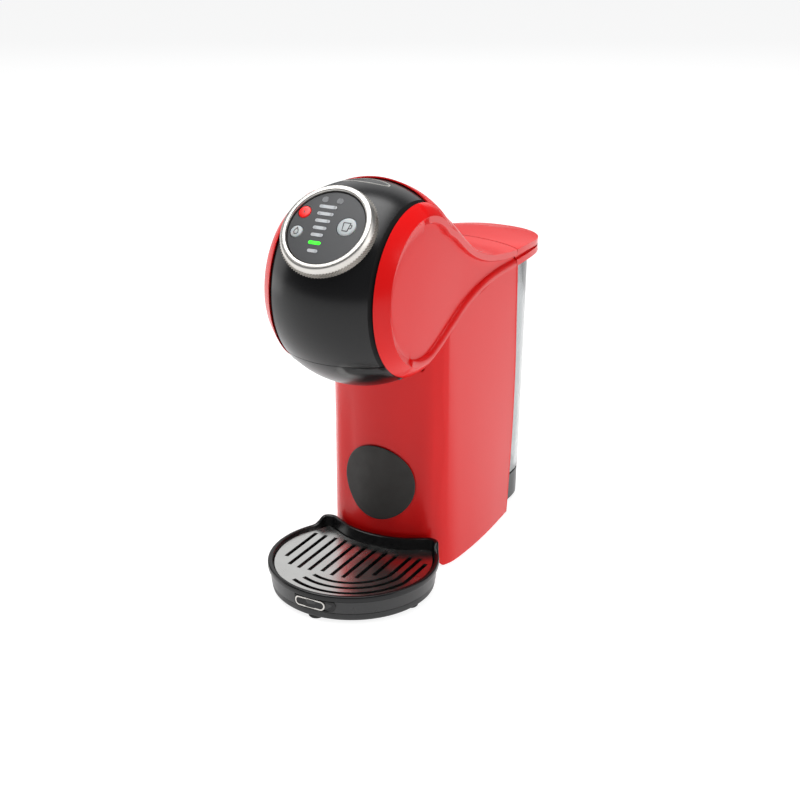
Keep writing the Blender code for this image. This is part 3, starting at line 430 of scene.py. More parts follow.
def make_looks(colours):
    """Every material of the machine."""
    # High-gloss ABS, moulded in a polished tool: deep colour under a smooth, slightly soft reflection.
    worked("gloss_red_abs", tuple(colours.red), 0.26, ior=1.53, Specular_IOR_Level=0.26,
           rough=(0.23, 0.27), patch=30.0, tint=0.97)
    # The same red with more reflection, for the lips: a lit copy of the material, a painted highlight that
    # makes them paler than the face.
    worked("lit_lip_red_abs", tuple(colours.red), 0.2, ior=1.53, Specular_IOR_Level=0.62,
           rough=(0.17, 0.22), patch=30.0, tint=0.97)
    # Piano-black ABS from the same kind of tool: the body stays dark under its highlights.
    worked("piano_black_abs", tuple(colours.black), 0.27, ior=1.53, Specular_IOR_Level=0.34,
           rough=(0.22, 0.27), patch=30.0, tint=1.2)
    # A darker, matt copy of the black on the mask's bevelled edges: painted shade, so they read as a dark
    # gap.
    worked("shaded_edge_black_abs", "#070707", 0.6, ior=1.53, Specular_IOR_Level=0.2,
           spacing=0.6, depth=0.005, rough=(0.55, 0.65), patch=8.0, tint=1.2)
    # Spark-eroded black ABS: a fine even grain, 0.6 mm apart, that scatters the light.
    worked("textured_black_abs", "#1d1d1e", 0.5, ior=1.53,
           spacing=0.6, depth=0.02, rough=(0.42, 0.56), patch=8.0, tint=1.25)
    # Satin ABS of the tray's wall: between the two, so it shows broad soft highlights.
    worked("satin_black_abs", "#262627", 0.34, ior=1.53,
           spacing=0.8, depth=0.006, rough=(0.27, 0.36), patch=12.0, tint=1.15)
    # Soft-touch pad of the column: warm black, matt.
    worked("soft_pad_black", "#2d2a28", 0.62, ior=1.48,
           spacing=0.5, depth=0.015, rough=(0.56, 0.68), patch=9.0, tint=1.12)
    # Screen-printed polycarbonate dial window, smoke grey behind a hard clear face.
    worked("dial_window_pc", "#303133", 0.36, ior=1.585, Specular_IOR_Level=0.3,
           spacing=0.7, depth=0.002, rough=(0.3, 0.38), patch=16.0, tint=1.3)
    # Satin-chromed ABS: bright metal whose reflections are blurred, a little more in some places.
    worked("satin_chrome", "#d2cfca", 0.34, metallic=1.0,
           spacing=2.5, depth=0.0008, rough=(0.3, 0.38), patch=9.0, tint=0.95)
    # Chrome of the knurled wall: a darker copy of the ring's chrome, painted shade for the ring's side, so
    # the ridges read.
    worked("shaded_knurl_chrome", "#9a958e", 0.3, metallic=1.0,
           spacing=2.0, depth=0.0008, rough=(0.28, 0.36), patch=6.0, tint=0.9)
    # Polished stainless sheet of the grid: clear reflections that the rolling has left a little uneven.
    worked("polished_stainless", "#d8d8d6", 0.24, metallic=1.0,
           spacing=5.0, depth=0.002, rough=(0.21, 0.28), patch=12.0, tint=0.95)
    # Zinc-plated steel of screws, pins and pump: grey, a little blue, half-dull.
    worked("zinc_steel", "#a9adb0", 0.34, metallic=1.0,
           spacing=0.8, depth=0.008, rough=(0.28, 0.42), patch=4.0, tint=0.88)
    # Die-cast aluminium of the heater: sandy skin.
    worked("cast_aluminium", "#b7b9ba", 0.48, metallic=1.0,
           spacing=0.9, depth=0.03, rough=(0.42, 0.58), patch=6.0, tint=0.9)
    # Turned brass of the valve.
    worked("turned_brass", "#c79a4b", 0.3, metallic=1.0,
           spacing=0.5, depth=0.006, rough=(0.24, 0.36), patch=3.0, tint=0.9)
    # Glass-filled nylon of the frame inside: dull grey with a sandy grain.
    worked("filled_nylon_grey", "#6d6e70", 0.6, ior=1.53,
           spacing=0.7, depth=0.02, rough=(0.52, 0.68), patch=7.0, tint=0.9)
    # Moulded rubber of feet, seals and mounts.
    worked("moulded_rubber", "#1a1a1a", 0.78, ior=1.52,
           spacing=0.5, depth=0.02, rough=(0.7, 0.85), patch=5.0, tint=1.3)
    # Milky silicone of the hoses and the button pad.
    worked("milky_silicone", "#d6d5d0", 0.42, ior=1.41, Subsurface_Weight=0.2,
           spacing=1.2, depth=0.006, rough=(0.36, 0.48), patch=6.0, tint=0.95)
    # Solder mask on glass-epoxy board.
    worked("board_solder_mask", "#1f6b3a", 0.4, ior=1.55,
           spacing=1.5, depth=0.01, rough=(0.34, 0.46), patch=5.0, tint=0.8)
    # Translucent button cap with light from below: pale grey and softly glossy.
    worked("button_cap_grey", "#b9babb", 0.32, Subsurface_Weight=0.15,
           spacing=0.6, depth=0.002, rough=(0.28, 0.36), patch=5.0, tint=0.92)
    # The hot button's cap: signal red, the same moulding.
    worked("button_cap_red", "#f00f0b", 0.3, Emission_Strength=0.16, Emission_Color=linear("#ff1008"),
           spacing=0.6, depth=0.002, rough=(0.26, 0.34), patch=5.0, tint=0.9)
    # Dark print of the symbols.
    worked("symbol_print", "#4a4b4d", 0.5,
           spacing=0.4, depth=0.001, rough=(0.45, 0.55), patch=2.0, tint=0.9)
    # Unlit bars: frosted light guides.
    worked("light_guide", "#c4c5c7", 0.4, Subsurface_Weight=0.1,
           spacing=0.5, depth=0.001, rough=(0.36, 0.45), patch=2.0, tint=0.93)
    # Unlit lamps of the two dots: the same guide, darker, painted shade for lamps that sit deeper in the
    # window.
    worked("light_guide_dim", "#a2a3a6", 0.45,
           spacing=0.5, depth=0.001, rough=(0.4, 0.5), patch=2.0, tint=0.93)
    # The lit bar glows evenly.
    worked("light_guide_lit", tuple(colours.glow), 0.4, Emission_Strength=0.75,
           Emission_Color=(*colours.glow, 1.0),
           spacing=0.5, depth=0.001, rough=(0.36, 0.45), patch=2.0, tint=0.95)
    # Clear SAN of the tank: faintly smoky, bright at its edges.
    worked("clear_san", "#cbcecf", 0.05, ior=1.45, Transmission_Weight=0.94,
           spacing=14.0, depth=0.004, rough=(0.03, 0.08), patch=20.0, tint=0.96)


# The carried-over pieces, by what they are made of.
CARRIED = {
    "zinc_steel": ["axle_pin_left", "axle_pin_right", "pump", "holder_nozzle", "injector_needle",
                   *[f"housing_screw_{n}" for n in range(1, 5)], *[f"base_screw_{n}" for n in range(1, 5)]],
    "textured_black_abs": ["holder_guide", "brew_head", "rear_wall", "handle_frame"],
    "milky_silicone": ["brew_hose", "pump_hose", "suction_hose", "button_pad", "injector_seal"],
    "filled_nylon_grey": ["chassis", "flow_meter", "tank_valve"],
    "moulded_rubber": ["pump_mount_lower", "pump_mount_upper", "mains_inlet", "foot_front", "foot_left",
                       "foot_right", "foot_rear_left", "foot_rear_right", "socket_seal"],
    "cast_aluminium": ["thermoblock"],
    "board_solder_mask": ["power_board", "panel_board"],
    "turned_brass": ["valve_poppet"],
}


# ---- the red shells ----

def on_head(radius, degrees):
    """(y, z) from the head's centre at an angle about its cross axis: 0 is forward, 90 is up."""
    a = math.radians(degrees)
    return -radius * math.cos(a), HEAD_Z + radius * math.sin(a)


def band_r(x):
    """Radius of the cap's rounded band, from its crest to its inner edge."""
    ball = CAP_R + (math.hypot(CREST_X, CREST_R) - CAP_R) * (x - CAP_IN) / (CREST_X - CAP_IN)
    return math.sqrt(ball * ball - x * x)


def under_z(x, y):
    """Underside of the cap's band behind the lip, easing up to the crest line."""
    drop = band_r(min(CREST_X, max(CAP_IN, x))) - CREST_R
    return between(LOW_TABLE, y) - drop * (1 - ease(12.0, 34.0, y))


SPAN_STEPS = 6
TAIL_ROWS = 6 * SPAN_STEPS
NECK_START = 7 * SPAN_STEPS
NECK_ROWS = 10 * SPAN_STEPS
FRONT_STEPS = 88
# Where each cap's band meets the neck above and the tail below, in degrees about the head.
TOP_MITRE, LOW_MITRE = 92.0, -65.0
BAND = (0.0, 0.04, 0.2, 0.4, 0.6, 0.8, 0.96, 1.0)
FACE_SPANS = 16
NECK_SPANS = 18


def crest_lines():
    """Stations of the upper crest, its spine and the lower crest, from the tail's end to the front."""
    neck = [136.0, 126.0, 116.0, 107.0]
    upper = flowing(TAIL_TOP[::-1] + [on_head(CREST_R, d) for d in neck], SPAN_STEPS)
    spine = flowing(TAIL_MID[::-1] + [on_head(NECK_R, d) for d in neck], SPAN_STEPS)
    lower = flowing(TAIL_LOW[::-1] + LOW_NEAR + [on_head(CREST_R, -103.0)], SPAN_STEPS)
    for n in range(1, FRONT_STEPS + 1):
        upper.append(Vector(on_head(CREST_R, 107.0 * (1 - n / FRONT_STEPS))))
        lower.append(Vector(on_head(CREST_R, -103.0 * (1 - n / FRONT_STEPS))))
    return upper, spine, lower


def head_angle(spot):
    return math.degrees(math.atan2(spot[1] - HEAD_Z, -spot[0]))


def side_marks(line, k, turned, flat):
    """The lip beside crest station k: points from the crest to the foot of its step."""
    y, z = line[k]
    if not flat:
        a = math.atan2(z - HEAD_Z, -y)
        spots = ((CREST_X, CREST_R), (CREST_X - 0.15, CREST_R - 0.26), (43.4, 45.3), (42.3, 43.15),
                 (PANEL_X, PANEL_R))
        return [(x, -r * math.cos(a), HEAD_Z + r * math.sin(a)) for x, r in spots]
    along = (line[min(k + 1, len(line) - 1)] - line[max(k - 1, 0)]).normalized() * turned
    inward = Vector((along.y, -along.x))
    # Both lips lean a little towards the light from above.
    lean = -0.3 * turned
    steps = ((CREST_X, 0.0), (CREST_X, 0.2), (CREST_X + lean, LIP - 0.2), (CREST_X + lean - 0.2, LIP),
             (PANEL_X + 0.15, LIP + 0.75))
    return [(x, y + inward.x * reach, z + inward.y * reach) for x, reach in steps]


def panel_x(y, z):
    """The recessed side face bellies out a little over the head."""
    far = math.hypot(y, z - HEAD_Z)
    return PANEL_X + 0.9 * max(0.0, 1 - (far / 62.0) ** 2) ** 2


def paint_lip_highlight(made):
    """The flat lips are polished brighter than the face that they frame."""
    made.data.materials.append(LOOKS["lit_lip_red_abs"])
    for face in made.data.polygons:
        if abs(face.center.x) > (CREST_X - 0.6) * MM and abs(face.normal.x) > 0.98:
            face.material_index = 1


def swell(share):
    """Fullness across a band: nothing at either edge and 1 in the middle."""
    return (4 * share * (1 - share)) ** 0.7


def band_inner(k):
    """Inner edge of the upper band, which narrows to nothing where the neck takes over from the cap."""
    return CREST_X + (CAP_IN - CREST_X) * ease(NECK_START, NECK_ROWS, k)


def face_line(high, low):
    """One station of the recessed side face, between the feet of the two lips."""
    (_, y0, z0), (_, y1, z1) = high, low
    line = []
    for n in range(1, FACE_SPANS):
        y, z = y0 + (y1 - y0) * n / FACE_SPANS, z0 + (z1 - z0) * n / FACE_SPANS
        edge = min(n, FACE_SPANS - n) * abs(z1 - z0) / FACE_SPANS
        line.append((PANEL_X + (panel_x(y, z) - PANEL_X) * ease(0.0, 6.0, edge), y, z))
    return line


def upper_band(k, spot, turn):
    """One station of the band from the upper crest inwards."""
    y, z = spot
    away = Vector((y, z - HEAD_Z)).normalized()
    fuller = 1.3 * ease(TOP_MITRE - 1.0, TOP_MITRE + 1.5, turn) * ease(NECK_START, NECK_ROWS, k)
    line = []
    for share in BAND:
        x = CREST_X + (band_inner(k) - CREST_X) * share
        reach = fuller * swell(share) + (band_r(x) - CREST_R if k > NECK_START else 0.0)
        line.append((x, y + away.x * reach, z + away.y * reach))
    return line


def lower_band(k, spot, turn):
    """One station of the band from the lower crest inwards, which the column's top covers behind."""
    y, z = spot
    away = Vector((y, z - HEAD_Z)).normalized()
    fuller = 1.1 * ease(LOW_MITRE + 1.0, LOW_MITRE - 1.5, turn) * ease(-103.0, -95.0, turn)
    line = []
    for share in BAND:
        x = CREST_X + (CAP_IN - CREST_X) * share
        if k > NECK_ROWS:
            reach = band_r(x) - CREST_R + fuller * swell(share)
            line.append((x, y + away.x * reach, z + away.y * reach))
        elif y > 30:
            line.append((CREST_X - 2.4 * share, y, z))
        else:
            line.append((x, y, under_z(x, y)))
    return line


def neck_line(k, spot, spine):
    """One station over the neck and tail, from band to band across the spine."""
    inner = band_inner(k)
    y, z = spot
    away = Vector((y, z - HEAD_Z)).normalized()
    reach = band_r(inner) - CREST_R if k > NECK_START else 0.0
    y, z = y + away.x * reach, z + away.y * reach
    power = 0.74 + 0.11 * ease(TAIL_ROWS, NECK_ROWS, k)
    line = []
    for n in range(-NECK_SPANS, NECK_SPANS + 1):
        share = math.sin(math.pi / 2 * n / NECK_SPANS)
        rise = max(0.0, 1 - share * share) ** power
        line.append((inner * share, y + (spine.x - y) * rise + HEAD_Y, z + (spine.y - z) * rise))
    return line


def housing(context):
    """Both caps of the head, the neck over the mask and the tail, in one red shell."""
    upper, spine, lower = crest_lines()
    sheet = Sheet()
    for side in (1, -1):
        surfaces = ([], [], [])
        for k, (top, foot) in enumerate(zip(upper, lower)):
            top_turn, low_turn = head_angle(top), head_angle(foot)
            high = side_marks(upper, k, -1, k < NECK_ROWS or top_turn > TOP_MITRE)
            low = side_marks(lower, k, 1, k < NECK_ROWS or low_turn < LOW_MITRE)
            face = high + face_line(high[-1], low[-1]) + low[::-1]
            lines = (face, upper_band(k, top, top_turn), lower_band(k, foot, low_turn))
            for rows, line in zip(surfaces, lines):
                rows.append(sheet.row([(side * x, y + HEAD_Y, z) for x, y, z in line]))
        for rows in surfaces:
            sheet.strips(rows)
    sheet.strips([sheet.row(neck_line(k, upper[k], spine[k])) for k in range(NECK_ROWS + 1)])
    made = raw("housing_shell", sheet.points, sheet.faces, inside=(0, HEAD_Y + 20, 200))
    walled(made, 0.9)
    settled(made, smooth=48)
    in_place(made, "machine", "red_gloss", LOOKS["gloss_red_abs"], "upper_housing")
    # The lips get their painted highlight: a lit copy of the red.
    paint_lip_highlight(made)


def column_y(x, z):
    """Front face of the column, from the head's centre, at a place across it."""
    hollow = 4.0 * math.sin(math.pi * min(1.0, z / 146.0))
    return COLUMN_FRONT + between(COLUMN_FINE, abs(x)) + hollow * (1 - ease(20.0, 38.0, abs(x)))


COLUMN_STOPS = [(-10.0, 0.95), *COLUMN, (44.4, COLUMN_REAR - COLUMN_FRONT)]
COLUMN_FINE = [tuple(p) for p in flowing(COLUMN_STOPS, 10)[10:]]
# Where the column's front corner turns, behind the head's centre, at each height.
CORNER_SWEEP = [(0.0, 24.0), (53.0, 29.0), (95.0, 33.0), (125.0, 30.0), (159.0, 31.0), (166.0, 34.0),
                (172.0, 40.0), (177.0, 47.0), (180.0, 54.0), (184.6, 71.6), (187.0, 95.0)]
COLUMN_ROWS = 64


def column(context):
    """The column's red front and sides, up to the crest line of the tail."""
    sheet = Sheet()
    path = [(-x, y) for x, y in reversed(COLUMN_FINE[1:])] + COLUMN_FINE
    rows = []
    for n in range(COLUMN_ROWS + 1):
        # The rows lie closer together near both ends.
        part = ease(0.0, 1.0, n / COLUMN_ROWS) * 0.4 + n / COLUMN_ROWS * 0.6
        spots = []
        for x, y in path:
            across = abs(x)
            y += COLUMN_FRONT
            under = under_z(max(CAP_IN, across), y) - 0.3 + 0.9 * ease(30.0, 40.0, y)
            top = COLUMN_TOP + (under - COLUMN_TOP) * ease(31.4, 34.5, across)
            low = 7.4 - 6.2 * ease(38.0, 42.3, across)
            z = low + (top - low) * part
            if y < 40 and across < 44:
                y = column_y(x, z)
            y += (column_rear(z) - COLUMN_REAR) * ease(60.0, COLUMN_REAR, y)
            narrow = max(0.0, across - COLUMN_TOP_HALF) * min(1.0, z / 190.0)
            # The corner sweeps backwards as it climbs towards the tail.
            ahead = min(9.0, max(0.0, between(CORNER_SWEEP, z) - y))
            narrow += 0.16 * ahead * ease(0.0, 20.0, z) * ease(36.0, 42.0, across)
            spots.append((x - math.copysign(narrow, x), y + HEAD_Y, z))
        rows.append(sheet.row(spots))
    sheet.strips(rows)
    made = raw("column_skin", sheet.points, sheet.faces, inside=(0, HEAD_Y + 90, 80))
    walled(made, 2.0)
    rounded(made, context.scene.machine_sizes.edge / MM, angle=50)
    settled(made, smooth=40)
    in_place(made, "machine", "red_gloss", LOOKS["gloss_red_abs"], "column_shell")


def column_rear(z):
    """Rear edge of the column's sides at a height."""
    return 129.2 + 11.0 * math.sin(math.pi / 2 * min(1.0, z / 130.0))


def front_pad(context):
    """Round soft pad on the column's front, following its curve, with a rolled edge."""
    sheet = Sheet()
    rows = []
    for share, lift in (*((share, 0.0) for share in (0.0, 0.3, 0.6, 0.85, 0.97)), (0.99, 0.1), (1.0, 0.35)):
        spots = []
        for k in range(72):
            a = math.tau * k / 72
            x, z = DISC_R * share * math.cos(a), DISC_R * share * math.sin(a)
            spots.append((x, column_y(x, DISC_Z + z) + HEAD_Y - 1.5 + lift, DISC_Z + z))
        rows.append(sheet.row(spots))
    sheet.strips(rows, closed=True)
    made = raw("front_pad", sheet.points, sheet.faces, inside=(0, HEAD_Y + 60, 62))
    walled(made, 0.8)
    settled(made)
    in_place(made, "machine", "disc_grey", LOOKS["soft_pad_black"], "column_disc")


def lid(context):
    """Red lid that ends the tail, with the same two lips and the groove between."""
    half = [tuple(p) for p in flowing(LID_HALF + [(0.0, LID_REAR), (-10.0, 211.7)], 6)[:-6]]
    path = half + [(-x, y) for x, y in reversed(half[:-1])]
    sheet = Sheet()
    rows = []
    for x, y in path:
        back = ease(138.0, LID_REAR, y)
        crest, low = 200.0 - 4.6 * back, 188.1 - 1.6 * back
        spine_y, spine_z = 145.6 + 45.0 * back, 203.0 - 4.0 * back
        inward = (Vector((0.0, 150.0 + 20.0 * back)) - Vector((x, y))).normalized()
        spots = []
        for n in range(12):
            share = math.sin(math.pi / 2 * n / 12)
            rise = (1 - share * share) ** 0.74
            z = crest + (spine_z - crest) * rise
            spots.append((x * share, y + (spine_y - y) * rise + HEAD_Y, z))
        middle = (crest + low) / 2
        lips = ((0.0, crest), (0.0, crest - 0.3), (0.25, crest - LIP),
                (2.2, middle + 0.9), (2.2, middle - 0.9), (0.25, low + LIP), (0.0, low + 0.3), (0.0, low), (0.3, low), (3.2, low))
        for reach, z in lips:
            spots.append((x + inward.x * reach, y + inward.y * reach + HEAD_Y, z))
        rows.append(sheet.row(spots))
    sheet.strips(rows)
    made = raw("lid_shell", sheet.points, sheet.faces, inside=(0, HEAD_Y + 170, 192))
    walled(made, 1.0)
    settled(made, smooth=48)
    in_place(made, "lid", "red_gloss", LOOKS["gloss_red_abs"], "tank_lid")


# ---- the handle: mask, dial and buttons ----

def dial_place(x=0.0, up=0.0):
    """A frame whose Z leaves the head through the dial, with its origin at the head's centre."""
    turn = Vector((0, 0, 1)).rotation_difference(DIAL_NORMAL).to_matrix().to_4x4()
    return Matrix.Translation((0, HEAD_Y, HEAD_Z)) @ turn @ Matrix.Translation((x, up, 0))


MASK_EDGE = 33.7


def mask_part(name, stations, finish, *nodes):
    """Part of the mask's ball between two stations across it; its sides fall away to a dark edge."""
    sheet = Sheet()
    rows = []
    for n in range(97):
        spots = []
        for x in stations:
            reach = math.sqrt(MASK_R ** 2 - x * x) - 0.5 * max(0.0, abs(x) - MASK_EDGE)
            low = -math.degrees(math.asin((HEAD_Z - SEAM_Z) / reach))
            y, z = on_head(reach, low + (MASK_REAR_DEG - low) * n / 96)
            spots.append((x, y + HEAD_Y, z))
        rows.append(sheet.row(spots))
    sheet.strips(rows)
    made = raw(name, sheet.points, sheet.faces, inside=(0, HEAD_Y, HEAD_Z))
    walled(made, 2.2)
    settled(made)
    return in_place(made, "handle", "black_gloss", LOOKS[finish], *nodes)


# How nearly a face has to point away from the head's centre to count as part of the ball.
BALL_MATCH = 0.985


def ball_normals(made):
    """Shades what lies on the mask's ball as a true ball, and leaves the rest as it is."""
    centre = Vector((0, HEAD_Y, HEAD_Z)) * MM
    mesh = made.data
    normals = []
    for face in mesh.polygons:
        for corner in face.loop_indices:
            out = (mesh.vertices[mesh.loops[corner].vertex_index].co - centre).normalized()
            turned = face.normal.dot(out)
            on_ball = abs(turned) > BALL_MATCH
            normals.append(tuple(math.copysign(1.0, turned) * out) if on_ball else (0.0, 0.0, 0.0))
    mesh.normals_split_custom_set(normals)


def mask(context):
    """Gloss black front of the head, which lifts as the locking handle, with a dull edge beside each cap."""
    stations = [MASK_EDGE * (2 * k / 64 - 1) for k in range(65)]
    made = mask_part("mask_shell", stations, "piano_black_abs", "handle_mask")
    hole = [(0, 40), (28.1, 40), (28.1, 80), (0, 80)]
    cut(made, raw("tool", *lathe(hole, 128, dial_place())))
    ball_normals(made)
    # Edge strips beside each cap, darker and matt: painted shade.
    for side, word in ((1, "right"), (-1, "left")):
        stations = [side * (MASK_EDGE + (MASK_HALF - MASK_EDGE) * n / 4) for n in range(5)]
        mask_part(f"mask_edge_{word}", stations, "shaded_edge_black_abs", "handle_mask")


def top_badge(context):
    """Blank oval badge on top of the mask, with a bright rim, laid on the ball's curve."""
    centre = Vector((0, HEAD_Y, HEAD_Z))

    def on_ball(across, along, radius):
        """Along runs round the ball, from the top forwards."""
        a = math.pi / 2 - along / MASK_R
        reach = math.sqrt(radius ** 2 - across * across)
        return centre + Vector((across, -reach * math.cos(a), reach * math.sin(a)))

    def oval(grown):
        turns = [math.tau * k / 64 for k in range(64)]
        return [((16.4 + grown) * math.cos(a), (5.8 + grown) * math.sin(a) - 3.5) for a in turns]

    sheet = Sheet()
    rows = [sheet.row([on_ball(0, -3.5, MASK_R + 0.08)] * 64)]
    for share in (0.3, 0.6, 0.9, 1.0):
        spots = [on_ball(x * share, (s + 3.5) * share - 3.5, MASK_R + 0.08) for x, s in oval(-0.7)]
        rows.append(sheet.row(spots))
    rows.append(sheet.row([on_ball(x, s, MASK_R - 0.2) for x, s in oval(-0.7)]))
    sheet.strips(rows, closed=True)
    made = settled(raw("top_badge", sheet.points, sheet.faces, inside=tuple(centre)))
    in_place(made, "handle", "black_gloss", LOOKS["piano_black_abs"])
    sheet = Sheet()
    rows = []
    for grown, lift in ((-0.8, -0.1), (-0.7, 0.14), (-0.2, 0.2), (0.4, 0.14), (0.5, -0.1)):
        rows.append(sheet.row([on_ball(x, s, MASK_R + lift) for x, s in oval(grown)]))
    rows.append(rows[0])
    sheet.strips(rows, closed=True)
    made = settled(raw("top_badge_rim", sheet.points, sheet.faces, inside=tuple(centre)))
    in_place(made, "handle", "chrome", LOOKS["satin_chrome"])


def ring(context):
    """Satin-chrome selector ring with a dished top face."""
    profile = [(25.8, 52.0), (27.6, 52.0), (27.6, 59.2), (30.2, 58.2), (30.75, 58.35), (30.75, 62.7),
               (30.6, 63.4), (30.25, 64.6), (29.8, 65.8), (29.3, 66.4), (28.6, 66.7), (27.0, 66.85),
               (26.4, 66.7), (26.0, 66.3), (25.8, 65.6)]
    made = settled(raw("dial_ring", *lathe(profile, 144, dial_place())), smooth=50)
    in_place(made, "ring", "chrome", LOOKS["satin_chrome"], "selector_ring")


def node_group(name, *sockets):
    """A geometry node group with those named inputs: its tree and what the inputs give."""
    tree = bpy.data.node_groups.new(name, "GeometryNodeTree")
    for label, kind, default in sockets:
        socket = tree.interface.new_socket(label, in_out="INPUT", socket_type=f"NodeSocket{kind}")
        if default is not None:
            socket.default_value = default
    tree.interface.new_socket("Geometry", in_out="OUTPUT", socket_type="NodeSocketGeometry")
    return tree, tree.nodes.new("NodeGroupInput").outputs


def maths(tree, operation, *terms):
    """The result of an operation on terms that are sockets or plain numbers."""
    node = add(tree, "ShaderNodeMath", {"operation": operation})
    for n, term in enumerate(terms):
        if isinstance(term, float):
            node.inputs[n].default_value = term
        else:
            tree.links.new(term, node.inputs[n])
    return node.outputs[0]


def close_group(tree, geometry, finish):
    """Ends a group: real geometry with its material."""
    real = add(tree, "GeometryNodeRealizeInstances", {}, Geometry=geometry)
    done = add(tree, "GeometryNodeSetMaterial", {}, Geometry=real.outputs[0], Material=finish)
    add(tree, "NodeGroupOutput", {}, Geometry=done.outputs[0])


def knurl_tree():
    """Node group: small pyramids in staggered rows round a ring."""
    tree, given = node_group(
        "knurled_band", ("Teeth", "Int", 96), ("Rows", "Int", 4), ("Radius", "Float", 0.0307),
        ("Pitch", "Float", 0.001), ("Tooth", "Float", 0.001), ("Finish", "Material", None))
    count = maths(tree, "MULTIPLY", given["Teeth"], given["Rows"])
    spots = add(tree, "GeometryNodePoints", {}, Count=count)
    index = add(tree, "GeometryNodeInputIndex").outputs[0]
    level = maths(tree, "FLOOR", maths(tree, "DIVIDE", index, given["Teeth"]))
    # Every other row sits half a tooth round, which makes the diamond pattern.
    place = maths(tree, "ADD", index, maths(tree, "MULTIPLY", level, 0.5))
    turn = maths(tree, "MULTIPLY", maths(tree, "DIVIDE", place, given["Teeth"]), math.tau)
    x = maths(tree, "MULTIPLY", maths(tree, "COSINE", turn), given["Radius"])
    y = maths(tree, "MULTIPLY", maths(tree, "SINE", turn), given["Radius"])
    z = maths(tree, "MULTIPLY", level, given["Pitch"])
    at = add(tree, "ShaderNodeCombineXYZ", {}, X=x, Y=y, Z=z)
    placed = add(tree, "GeometryNodeSetPosition", {}, Geometry=spots.outputs[0], Position=at.outputs[0])
    facing = add(tree, "ShaderNodeCombineXYZ", {}, Z=turn)
    tooth = add(tree, "GeometryNodeMeshCone", {"Vertices": 4, "Radius Top": 0.0},
                Radius_Bottom=given["Tooth"], Depth=given["Tooth"])
    lean = add(tree, "GeometryNodeTransform", {"Rotation": (0.0, math.pi / 2, 0.0)},
               Geometry=tooth.outputs[0])
    many = add(tree, "GeometryNodeInstanceOnPoints", {}, Points=placed.outputs[0],
               Instance=lean.outputs[0], Rotation=facing.outputs[0])
    close_group(tree, many.outputs[0], given["Finish"])
    return tree


def from_nodes(name, tree, height, values):
    """A plain mesh of what a node group makes with those named inputs, at a height out of the dial."""
    made = bpy.data.objects.new(name, bpy.data.meshes.new(name))
    bpy.context.scene.collection.objects.link(made)
    step = made.modifiers.new("nodes", "NODES")
    step.node_group = tree
    for item in tree.interface.items_tree:
        if item.item_type == "SOCKET" and item.in_out == "INPUT" and item.name in values:
            step[item.identifier] = values[item.name]
    settled(made, smooth=20)
    place = dial_place() @ Matrix.Translation((0, 0, height))
    place.translation *= MM
    made.data.transform(place)
    return made


# Distance of the knurl's lowest row from the head's centre.
KNURL_LOW = 59.0


def knurl(context):
    """Diamond knurling round the ring's wall."""
    sizes = context.scene.machine_sizes
    # The knurl's chrome is darker than the ring's face: painted shade on the ring's side.
    made = from_nodes("dial_knurl", knurl_tree(), KNURL_LOW, {
        "Teeth": sizes.knurl_teeth, "Rows": sizes.knurl_rows, "Radius": 30.7 * MM, "Pitch": 1.02 * MM,
        "Tooth": 0.95 * MM, "Finish": LOOKS["shaded_knurl_chrome"]})
    in_place(made, "ring", "chrome", LOOKS["shaded_knurl_chrome"])


# Each button's place on the dial (across, up), radius, material and slot.
BUTTONS = {
    "hot": (-18.5, 8.8, 4.1, "button_cap_red", "button_red"),
    "cold": (-18.6, -5.1, 4.1, "button_cap_grey", "button_grey"),
    "size": (13.3, 2.3, 6.3, "button_cap_grey", "button_grey"),
}
# Distance of the dial's face from the head's centre.
FACE_D = 65.2


def dial_face(context):
    """Dark round window inside the ring, with a hole for each button."""
    profile = [(0, FACE_D), (10.0, FACE_D), (20.0, FACE_D), (24.9, FACE_D - 0.05), (25.3, FACE_D - 0.4),
               (25.3, 51.0), (23.5, 51.0), (23.5, FACE_D - 2.0), (0, FACE_D - 2.0)]
    made = raw("dial_face", *lathe(profile, 96, dial_place()))
    for x, up, radius, _, _ in BUTTONS.values():
        hole = [(0, 60.4), (radius + 0.3, 60.4), (radius + 0.3, 68.0), (0, 68.0)]
        cut(made, raw("tool", *lathe(hole, 48, dial_place(x, up))))
    settled(made)
    in_place(made, "handle", "panel_grey", LOOKS["dial_window_pc"], "control_panel")


